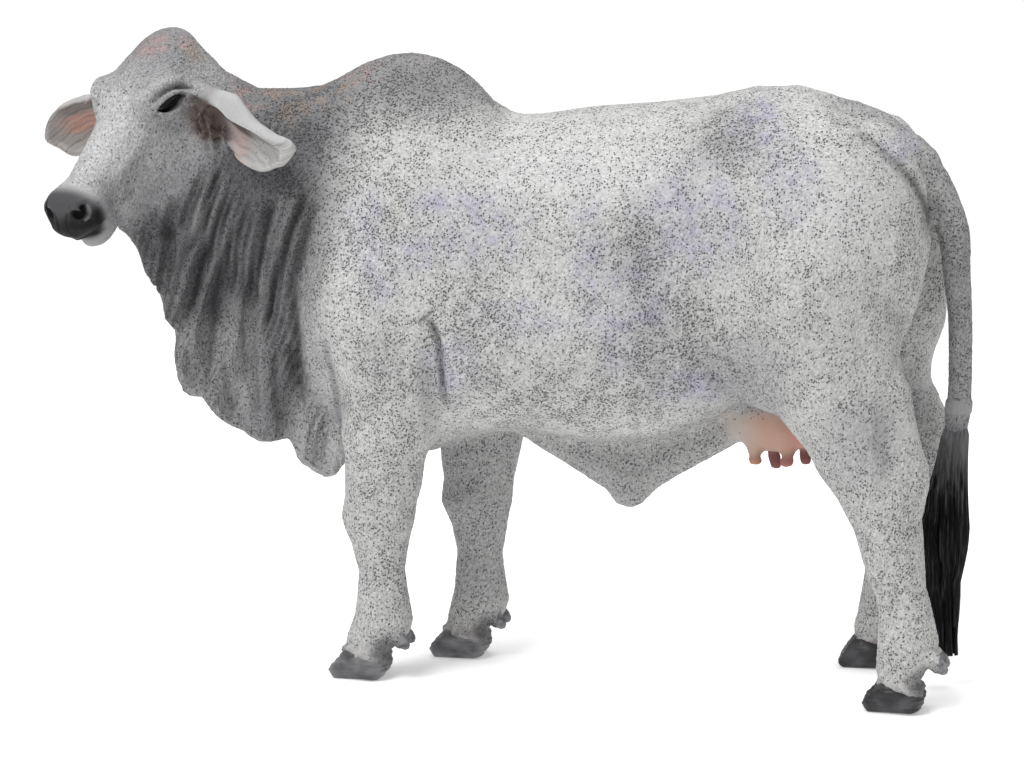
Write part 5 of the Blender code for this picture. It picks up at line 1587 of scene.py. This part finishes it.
        # painted shade in the creases round the eye: above the lid, the tear line, the eye's tail and under
        # the lid
        for crease, strength in ((LID_CREASE, 0.75), (TEAR_LINE, 0.60), (EYE_TAIL, 0.70),
                                 (UNDER_LID, 0.30)):
            self.lay(self.LID_LINE, skull * crease.on(places), strength)
        # painted highlight on the fold of the upper lid
        self.lay(self.LID_LIGHT, skull * UPPER_LID.on(places), 0.6)
        self.lay(self.LID, skull * eye_opening(places, 0.10), 0.60)
        self.lay(self.EYE, skull * eye_opening(places))
        self.spray_muzzle(skull)
        for crease, strength in ((TRAGUS, 0.85), (TRAGUS_FRONT, 0.60)):
            self.lay(self.TRAGUS_LINE, self.regions.is_head * crease.on(places), strength)

    def spray_muzzle(self, skull: Array) -> None:
        """Paint the dark muzzle, the nostrils with painted highlight on their rims, and the paler chin.

        Args:
            skull: Where the head is, without its ears.
        """
        places = self.places
        along, rise, near = places.T
        self.lay(self.SHADE, skull * smooth(along, 13.0, 17.0) * smooth(rise, 2.4, 0.4), 0.60)
        nose = skull * smooth(along + 0.10 * rise, 17.8, 20.0)
        self.lay(self.NOSE, nose * smooth(rise, -5.4, -4.2), 0.95)
        self.lay(self.LIPS, nose * smooth(rise, 2.2, 0.2) * smooth(rise, -5.2, -4.2), 0.88)
        chin = ball(places, (19.8, -6.5, 0.0), (4.0, 2.0, 3.4), 0.3)
        self.lay(self.CHIN, skull * chin, 0.85)
        # painted highlight on the raised rim of each nostril
        self.lay(self.NOSTRIL_LIGHT, skull * NOSTRIL_RIM.on(places), 0.80)
        self.lay(self.NOSTRIL, skull * smooth(NOSTRIL.on(places), 0.30, 0.60))
        self.lay(self.NOSTRIL, skull * NOSTRIL_FOLD.on(places), 0.6)
        self.lay(self.NOSTRIL, skull * MOUTH.on(places), 0.7)

    def spray_ears(self) -> None:
        """Paint the ears: pale backs and edges, and pink-beige cups with darker hair lines."""
        places = self.places
        out = places[:, 2]
        ears = self.regions.crisp["ears"]
        height = self.regions.ear_height
        left = smooth(self.regions.sides, -1.0, 1.0)
        lines = hair_lines(places)
        normals = self.surface.normals() @ self.figure.head_axes.T
        front = ears * smooth(normals[:, 0], 0.10, 0.50)
        self.lay(self.EAR_BACK, ears * smooth(out, 10.5, 14.0), 0.9)
        far = front * (1.0 - left)
        self.lay(self.FAR_CUP, far, 0.95)
        self.lay(self.FAR_SHADE, far * smooth(height, 0.62, 0.76) * smooth(out, 23.0, 19.0), 0.80)
        warm = far * smooth(height, 0.34, 0.46) * smooth(height, 0.76, 0.64) * smooth(out, 24.0, 19.5)
        self.lay(self.FAR_PINK, warm, 0.75)
        self.lay(self.FAR_EDGE, far * smooth(height, 0.84, 0.90), 0.85)
        self.lay(self.FAR_LINE, far * smooth(lines, -0.15, -0.7), 0.55)
        self.lay(self.FAR_HAIR, far * smooth(lines, 0.25, 0.8), 0.35)
        near = front * left
        self.lay(self.NEAR_CUP, near * smooth(height, 0.80, 0.66) * smooth(out, 12.0, 15.0), 0.90)
        pink = smooth(height, 0.66, 0.48) * smooth(out, 18.0, 15.5) * smooth(out, 13.0, 14.6)
        self.lay(self.NEAR_PINK, near * pink, 0.70)
        wedge = smooth(height, 0.44, 0.54) * smooth(height, 0.78, 0.66)
        self.lay(self.NEAR_SHADE, near * wedge * smooth(out, 20.5, 16.5), 0.90)
        self.lay(self.NEAR_GREY, near * wedge * smooth(out, 17.0, 20.0) * smooth(out, 27.0, 24.0), 0.75)
        self.lay(self.NEAR_LINE, near * smooth(lines, -0.1, -0.8) * smooth(height, 0.84, 0.72), 0.45)
        self.lay(self.NEAR_HAIR, near * smooth(lines, 0.2, 0.8) * smooth(out, 17.0, 20.0), 0.45)
        self.spray_tuft()

    def spray_tuft(self) -> None:
        """Paint the brown hair that grows before the ears and over their lower ends."""
        places = self.places
        bed = np.clip(sum(strand.on(places) for strand in TUFT_BED), 0.0, 1.0) * self.regions.is_head
        self.lay(self.TUFT, bed, 0.85)
        for number, strand in enumerate(EAR_TUFT):
            mask = strand.on(places) * self.regions.is_head
            self.lay(self.TUFT_DARK, mask, 0.85 if 1 < number < 9 else 0.6)
        for share in (0.07, 0.36, 0.64, 0.93):
            strand = tuft_strand(share, 0.0, 0.16)
            self.lay(self.TUFT_PALE, strand.on(places) * self.regions.is_head, 0.55)

    def texture(self) -> tuple[Array, Array]:
        """Work out where the pits crowd and how strong the cast ridges are.

        Returns:
            The density of pits and the strength of the relief at each point.
        """
        points, places = self.points, self.places
        freckle = 0.45 + 0.60 * self.spots((
            (22.0, 54.0, 10.0, 9.0), (-16.0, 88.0, 11.0, 8.0), (-7.0, 52.0, 7.0, 10.0),
            (-20.0, 45.0, 6.0, 9.0), (-32.0, 81.0, 7.0, 8.0), (18.0, 66.0, 6.0, 7.0),
            (8.0, 44.0, 16.0, 5.0), (-21.0, 70.0, 6.0, 10.0), (33.0, 83.0, 6.0, 5.0),
            (-30.0, 68.0, 3.5, 9.0)))
        freckle += 0.22 * self.spots(((42.0, 66.0, 9.0, 7.0), (-18.0, 24.0, 8.0, 14.0),
                                      (56.0, 24.0, 8.0, 14.0), (60.0, 62.0, 6.0, 12.0)))
        head = self.regions.is_head
        smoother = np.maximum.reduce([
            smooth(places[:, 0], 16.0, 19.5) * head * 0.97,
            self.regions.crisp["ears"] * smooth(places[:, 2], 9.5, 12.0) * 0.92,
            self.regions.wide["udder"] * smooth(points[:, 2], 43.5, 41.0) * 1.10,
            eye_opening(places, 0.25) * head,
            smooth(points[:, 2], 6.0, 4.4) * 0.6,
            smooth(points[:, 0], 61.0, 62.0) * smooth(points[:, 2], 44.5, 44.0)
            * smooth(points[:, 2], 41.8, 42.3) * 0.8,
        ])
        dots = freckle * (1.0 - 0.90 * smoother) * (1.0 - 0.80 * head)
        calm = self.spots(((8.0, 80.0, 26.0, 6.0), (50.0, 72.0, 8.0, 12.0), (-15.0, 93.0, 10.0, 5.0)))
        return dots, (1.0 - 0.92 * smoother) * (1.0 - 0.25 * calm + 0.10 * head)

    def lie(self) -> Array:
        """Return how much the ridges lie along the back, across the flank and down the legs."""
        points = self.points
        down = np.maximum(smooth(points[:, 2], 48.0, 36.0), smooth(points[:, 0], -24.0, -32.0))
        down = np.maximum(down, self.regions.wide["tail"])
        level = smooth(points[:, 2], 70.0, 80.0) * (1.0 - down)
        return np.stack([level, 1.0 - level - down, down], axis=1)


def store(mesh: Mesh, name: str, kind: str, values: Array) -> None:
    """Store a value at each of a mesh's points.

    Args:
        mesh: The mesh.
        name: The attribute's name.
        kind: Its data type, a number, a vector or a colour.
        values: A value a point.
    """
    attribute = mesh.attributes.new(name, kind, "POINT")
    field_name = {"FLOAT": "value", "FLOAT_VECTOR": "vector", "FLOAT_COLOR": "color"}[kind]
    attribute.data.foreach_set(field_name, np.ascontiguousarray(values, dtype=np.float32).ravel())


@dataclass
class Claws:
    """The eight claws, each a horny wedge that tucks under the skin of its coronet."""

    figure: Figure
    cell: float = 0.22              # mm
    tuck: float = 0.6               # mm that the top is raised, into the leg
    inset: float = 0.30             # share that the raised top is drawn in
    ring: float = 0.75              # mm between growth rings
    ring_height: float = 0.05       # mm
    rounded: float = 0.6            # mm that the sole draws back under the toe's tip
    long_toe: float = 1.5           # mm that the right hind toes reach further forward

    def build(self, fore: Material, hind: Material,
              dewclaw: Material) -> None:
        """Make every claw and dewclaw.

        Args:
            fore: The fore claws' paint.
            hind: The hind claws' paint.
            dewclaw: The dewclaws' paint.
        """
        for name in sorted(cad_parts):
            if "_claw_" in name:
                self.claw(name, hind if name.startswith("hindleg") else fore)
            elif "_dewclaw_" in name:
                self.dewclaw(name, dewclaw)

    def claw(self, name: str, material: Material) -> None:
        """Make one claw.

        Args:
            name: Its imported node.
            material: Its paint.
        """
        surface = Surface.of_node(name, self.figure).remeshed(self.cell)
        surface.relax(60, 1.0)
        points = surface.points
        x, z = points[:, 0], points[:, 2]
        toe, heel, top = x.min(), x.max(), z.max()
        x += self.rounded * np.clip(1.0 - z / 1.6, 0.0, 1.0) ** 2 * smooth(x, toe + 1.5, toe)
        if name.startswith("hindleg_right"):
            x -= self.long_toe * smooth(z, 4.0, 0.5) * smooth(x, (toe + heel) / 2, toe)
        surface.relax(8, 1.0)
        points = surface.points
        rings = np.sin(2 * pi * (points[:, 2] - 0.12 * points[:, 0]) / self.ring)
        surface.push(self.ring_height * rings * smooth(points[:, 2], 0.3, 1.0) - 0.04)
        points = surface.points
        points[:, 2] = np.maximum(points[:, 2], 0.0)
        raised = smooth(points[:, 2], top - 1.1, top - 0.2)
        middle = points[points[:, 2] > top - 0.6, :2].mean(axis=0)
        points[:, 2] += self.tuck * raised
        points[:, :2] += (middle - points[:, :2]) * self.inset * raised[:, None]
        dress(place_piece(name.replace("_claw_", "_hoof_"), surface, self.figure), material,
              [name])

    def dewclaw(self, name: str, material: Material) -> None:
        """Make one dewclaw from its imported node, a finer cone."""
        surface = Surface.of_node(name, self.figure).remeshed(0.16)
        surface.relax(6, 1.0)
        dress(place_piece(name + "_horn", surface, self.figure), material, [name])


@dataclass
class Eyes:
    """The two glossy eyes, each a bead behind the lids."""

    figure: Figure
    places: tuple[Point, Point] = ((-0.15, 3.2, 6.6), (-0.15, 3.2, -4.9))     # on the head's axes
    radii: Point = (3.10, 1.20, 1.10)   # mm along the lids, across them and outward
    lean: float = radians(21)           # of the lids against the head's own length

    def build(self, material: Material) -> None:
        """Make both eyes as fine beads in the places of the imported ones.

        Args:
            material: The eyes' lacquer.
        """
        for side, place in zip(("left", "right"), self.places):
            node = "eye_" + side
            bead = self.bead()
            turn = np.array(((cos(self.lean), -sin(self.lean), 0.0), (sin(self.lean), cos(self.lean), 0.0),
                             (0.0, 0.0, 1.0)))
            points = (bead.points * self.radii) @ turn.T @ self.figure.head_axes
            bead.points = self.figure.at_head(*place) + points
            dress(place_piece(node + "_bead", bead, self.figure), material, [node])

    @staticmethod
    def bead(rings: int = 24, spokes: int = 40) -> Surface:
        """Return a closed ball of radius 1 round the origin.

        Args:
            rings: Steps from pole to pole.
            spokes: Steps round it.

        Returns:
            The ball's surface.
        """
        polar = pi * np.arange(1, rings) / rings
        turn = 2 * pi * np.arange(spokes) / spokes
        grid = np.stack([np.outer(np.sin(polar), np.cos(turn)), np.outer(np.sin(polar), np.sin(turn)),
                         np.outer(np.cos(polar), np.ones(spokes))], axis=2)
        ball_of_rings = tube(grid)
        ball_of_rings.points[-2:, 2] = (1.0, -1.0)
        return ball_of_rings


@dataclass
class Switch:
    """The tail's switch: a core with tapered locks of sculpted hair laid along it."""

    figure: Figure
    cell: float = 0.3               # mm between the core's points
    locks: int = 150
    lock_radius: float = 0.27       # mm
    lock_sides: int = 6
    twist: float = 0.5              # turn from top to bottom, in radians
    steps: int = 14                 # along a lock
    rows: int = 15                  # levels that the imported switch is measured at
    fullness: float = 0.55          # least share of its greatest width that its lower half keeps
    seed: int = 11

    NODE = "tail_switch"

    def build(self, material: Material) -> None:
        """Make the switch.

        Args:
            material: Its paint.
        """
        packed = Surface.of_node(self.NODE, self.figure)
        levels = self.levels(packed.points)
        core = packed.remeshed(self.cell)
        core.relax(12, 1.0)
        core.push(-0.35)
        locks = self.lock_surface(levels)
        dress(place_piece("tail_switch_hair", join([core, locks]), self.figure), material,
              [self.NODE])

    def levels(self, points: Array) -> Array:
        """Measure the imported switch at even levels.

        Args:
            points: Its points.

        Returns:
            The z, middle x, middle y and two half widths of each level, from top to bottom.
        """
        low, high = points[:, 2].min(), points[:, 2].max()
        rows = []
        for z in np.linspace(high + 0.7, low - 0.2, self.rows):
            near = points[np.abs(points[:, 2] - np.clip(z, low + 0.9, high - 0.4)) < 1.4]
            rows.append((z, near[:, 0].min(), near[:, 0].max(), near[:, 1].min(), near[:, 1].max()))
        table = np.array(rows)
        halves = (table[:, (2, 4)] - table[:, (1, 3)]) / 2
        lower = halves[self.rows // 2 + 1:]
        lower[:] = np.maximum(lower, self.fullness * halves.max(axis=0))
        halves[:, 0] *= 1.0 + 0.13 * np.exp(-((table[:, 0] - 26.0) / 5.0) ** 2)
        return np.stack([table[:, 0], (table[:, 1] + table[:, 2]) / 2, (table[:, 3] + table[:, 4]) / 2,
                         *halves.T], axis=1)

    def lock_surface(self, levels: Array) -> Surface:
        """Return all locks as one surface, swept along their curves by Geometry Nodes.

        Args:
            levels: The switch's middle and half widths from top to bottom.

        Returns:
            The locks.
        """
        random = np.random.default_rng(self.seed)
        curve = bpy.data.curves.new("locks", "CURVE")
        curve.dimensions = "3D"
        for lock in range(self.locks):
            start = random.uniform(0.05, 0.60) if lock % 2 else 0.01
            end = min(1.0, start + random.uniform(0.40, 0.75))
            turn = 2 * pi * (lock * 0.381966) + random.uniform(-0.05, 0.05)
            sway = random.uniform(-0.22, 0.22)
            wave = random.uniform(7.0, 12.0)
            late = random.uniform(0.0, 6.3)
            spline = curve.splines.new("POLY")
            spline.points.add(self.steps)
            for step in range(self.steps + 1):
                share = start + (end - start) * step / self.steps
                z, x, y, wide, deep = (np.interp(share * (len(levels) - 1), np.arange(len(levels)),
                                                 levels[:, k]) for k in range(5))
                angle = turn + self.twist * share + sway * sin(3.0 * share)
                angle += 0.05 * sin(wave * share + late)
                inset = self.lock_radius * (0.9 if share > 0.14 else 1.9)
                reach = (max(wide - inset, 0.05), max(deep - inset, 0.05))
                spline.points[step].co = (x + reach[0] * cos(angle), y + reach[1] * sin(angle), z, 1.0)
                ease = min(1.0, 0.35 + 2.5 * step / self.steps)
                taper = sin(pi * min(0.5 + step / self.steps / 2, 0.97))
                spline.points[step].radius = ease * max(taper, 0.08)
        item = new_item("locks", curve)
        self.add_sweep(item)
        made = baked(item)
        surface = Surface.of_mesh(made)
        bpy.data.meshes.remove(made)
        return surface

    def add_sweep(self, item: Object) -> None:
        """Add a tree to an object of curves that sweeps a round lock along each."""
        tree = new_tree("lock_sweep", {"Lock radius": ("NodeSocketFloat", 0.4),
                                       "Sides": ("NodeSocketInt", 7)})
        inputs = tree.nodes["Group Input"].outputs
        circle = add_node(tree, "GeometryNodeCurvePrimitiveCircle", {
            "Resolution": inputs["Sides"], "Radius": inputs["Lock radius"]})
        swept = add_node(tree, "GeometryNodeCurveToMesh", {
            "Fill Caps": True, "Curve": inputs["Geometry"], "Profile Curve": circle})
        joined = add_node(tree, "GeometryNodeRealizeInstances", {0: swept})
        add_tree(item, tree, joined, {"Lock radius": self.lock_radius, "Sides": self.lock_sides})


@dataclass(frozen=True)
class Studio:
    """The pale floor, the soft lights and the camera of the photo's view."""

    figure: Figure
    azimuth: float = radians(10)
    elevation: float = radians(10)
    distance: float = 600.0         # mm
    target: Point = (0.0, -15.0, 47.0)
    lens: float = 142.4             # mm on a 36 mm sensor
    fill: float = 0.42              # strength of the white room's light
    key: float = 6.0                # watts of the light over the camera
    top: float = 4.0                # watts of the light overhead
    backdrop: float = 1.05          # strength of the white that the camera sees behind the figure

    WHITE = (1.0, 1.0, 1.0, 1.0)

    def build(self) -> None:
        """Set up the floor, lights and camera."""
        self.floor()
        self.lights()
        self.camera()

    def floor(self) -> None:
        """Lay a wide pale floor."""
        half = 0.32
        mesh = bpy.data.meshes.new("floor")
        mesh.from_pydata([(-half, -half, 0), (half, -half, 0), (half, half, 0), (-half, half, 0)], [],
                         [(0, 1, 2, 3)])
        item = new_item("floor", mesh)
        material, _, shader = new_material("pale_floor")
        feed(shader, {
            "Base Color": (*colour("FAFAFA"), 1.0), "Roughness": 0.9, "Emission Color": self.WHITE,
            "Emission Strength": 0.30})
        mesh.materials.append(material)

    def lights(self) -> None:
        """Hang two broad soft lights and fill the room with white."""
        world = bpy.data.worlds.new("white_room")
        world.use_nodes = True
        tree = world.node_tree
        ray = add_node(tree, "ShaderNodeLightPath").outputs["Is Camera Ray"]
        strength = add_node(tree, "ShaderNodeMapRange", {
            0: ray, 1: 0.0, 2: 1.0, 3: self.fill, 4: self.backdrop})
        feed(tree.nodes["Background"], {"Color": self.WHITE, "Strength": strength})
        bpy.context.scene.world = world
        bpy.context.scene.view_settings.view_transform = "Standard"
        for name, place, size, power in (("key_light", (-0.30, -0.50, 0.80), 0.5, self.key),
                                         ("top_light", (0.15, 0.15, 0.95), 0.6, self.top)):
            lamp = bpy.data.lights.new(name, "AREA")
            lamp.shape = "DISK"
            lamp.size = size
            lamp.energy = power
            item = new_item(name, lamp)
            item.location = place
            aim = Vector((0.0, 0.0, 0.05)) - Vector(place)
            item.rotation_euler = aim.to_track_quat("-Z", "Y").to_euler()

    def camera(self) -> None:
        """Set the camera where the photo was taken from."""
        target = (np.array(self.target) + self.figure.shift) * METRES
        back = np.array((sin(self.azimuth) * cos(self.elevation),
                         -cos(self.azimuth) * cos(self.elevation), sin(self.elevation)))
        camera = bpy.data.cameras.new("camera")
        camera.lens = self.lens
        camera.sensor_width = 36.0
        camera.clip_end = 50.0
        item = new_item("camera", camera)
        item.location = target + back * self.distance * METRES
        item.rotation_euler = Vector(-back).to_track_quat("-Z", "Y").to_euler()
        bpy.context.scene.camera = item


def main() -> None:
    """Build and paint the figure, light it and report each piece."""
    logging.basicConfig(level=logging.INFO, format="%(message)s")
    figure = Figure.from_frame()
    Studio(figure).build()
    coat = CoatVinyl().make()
    fore = SatinPaint("fore_hoof_satin_paint", main="68686A", light="8A8A8C", dark="424244", grain=2.6,
                      stretch=(0.7, 0.7, 1.2), ring=0.62, shine=0.3).make()
    hind = SatinPaint("hind_hoof_satin_paint", main="343436", light="505052", dark="1E1E20", grain=2.6,
                      stretch=(0.7, 0.7, 1.2), ring=0.62, shine=0.3).make()
    dewclaw = SatinPaint("dewclaw_satin_paint", main="747476", light="8E8E90", dark="48484A",
                         grain=0.9, roughness=0.5, shine=0.3).make()
    hair = SatinPaint("switch_satin_paint", main="040304", light="363538", dark="020202", grain=0.35,
                      stretch=(1.0, 1.0, 0.06), roughness=0.62, shine=0.12, fade="6E6E70",
                      fade_from=29.5, fade_to=41.5).make()
    Skin(figure).build(coat)
    Claws(figure).build(fore, hind, dewclaw)
    Eyes(figure).build(EyeLacquer().make())
    Switch(figure).build(hair)


if __name__ == "__main__":
    main()
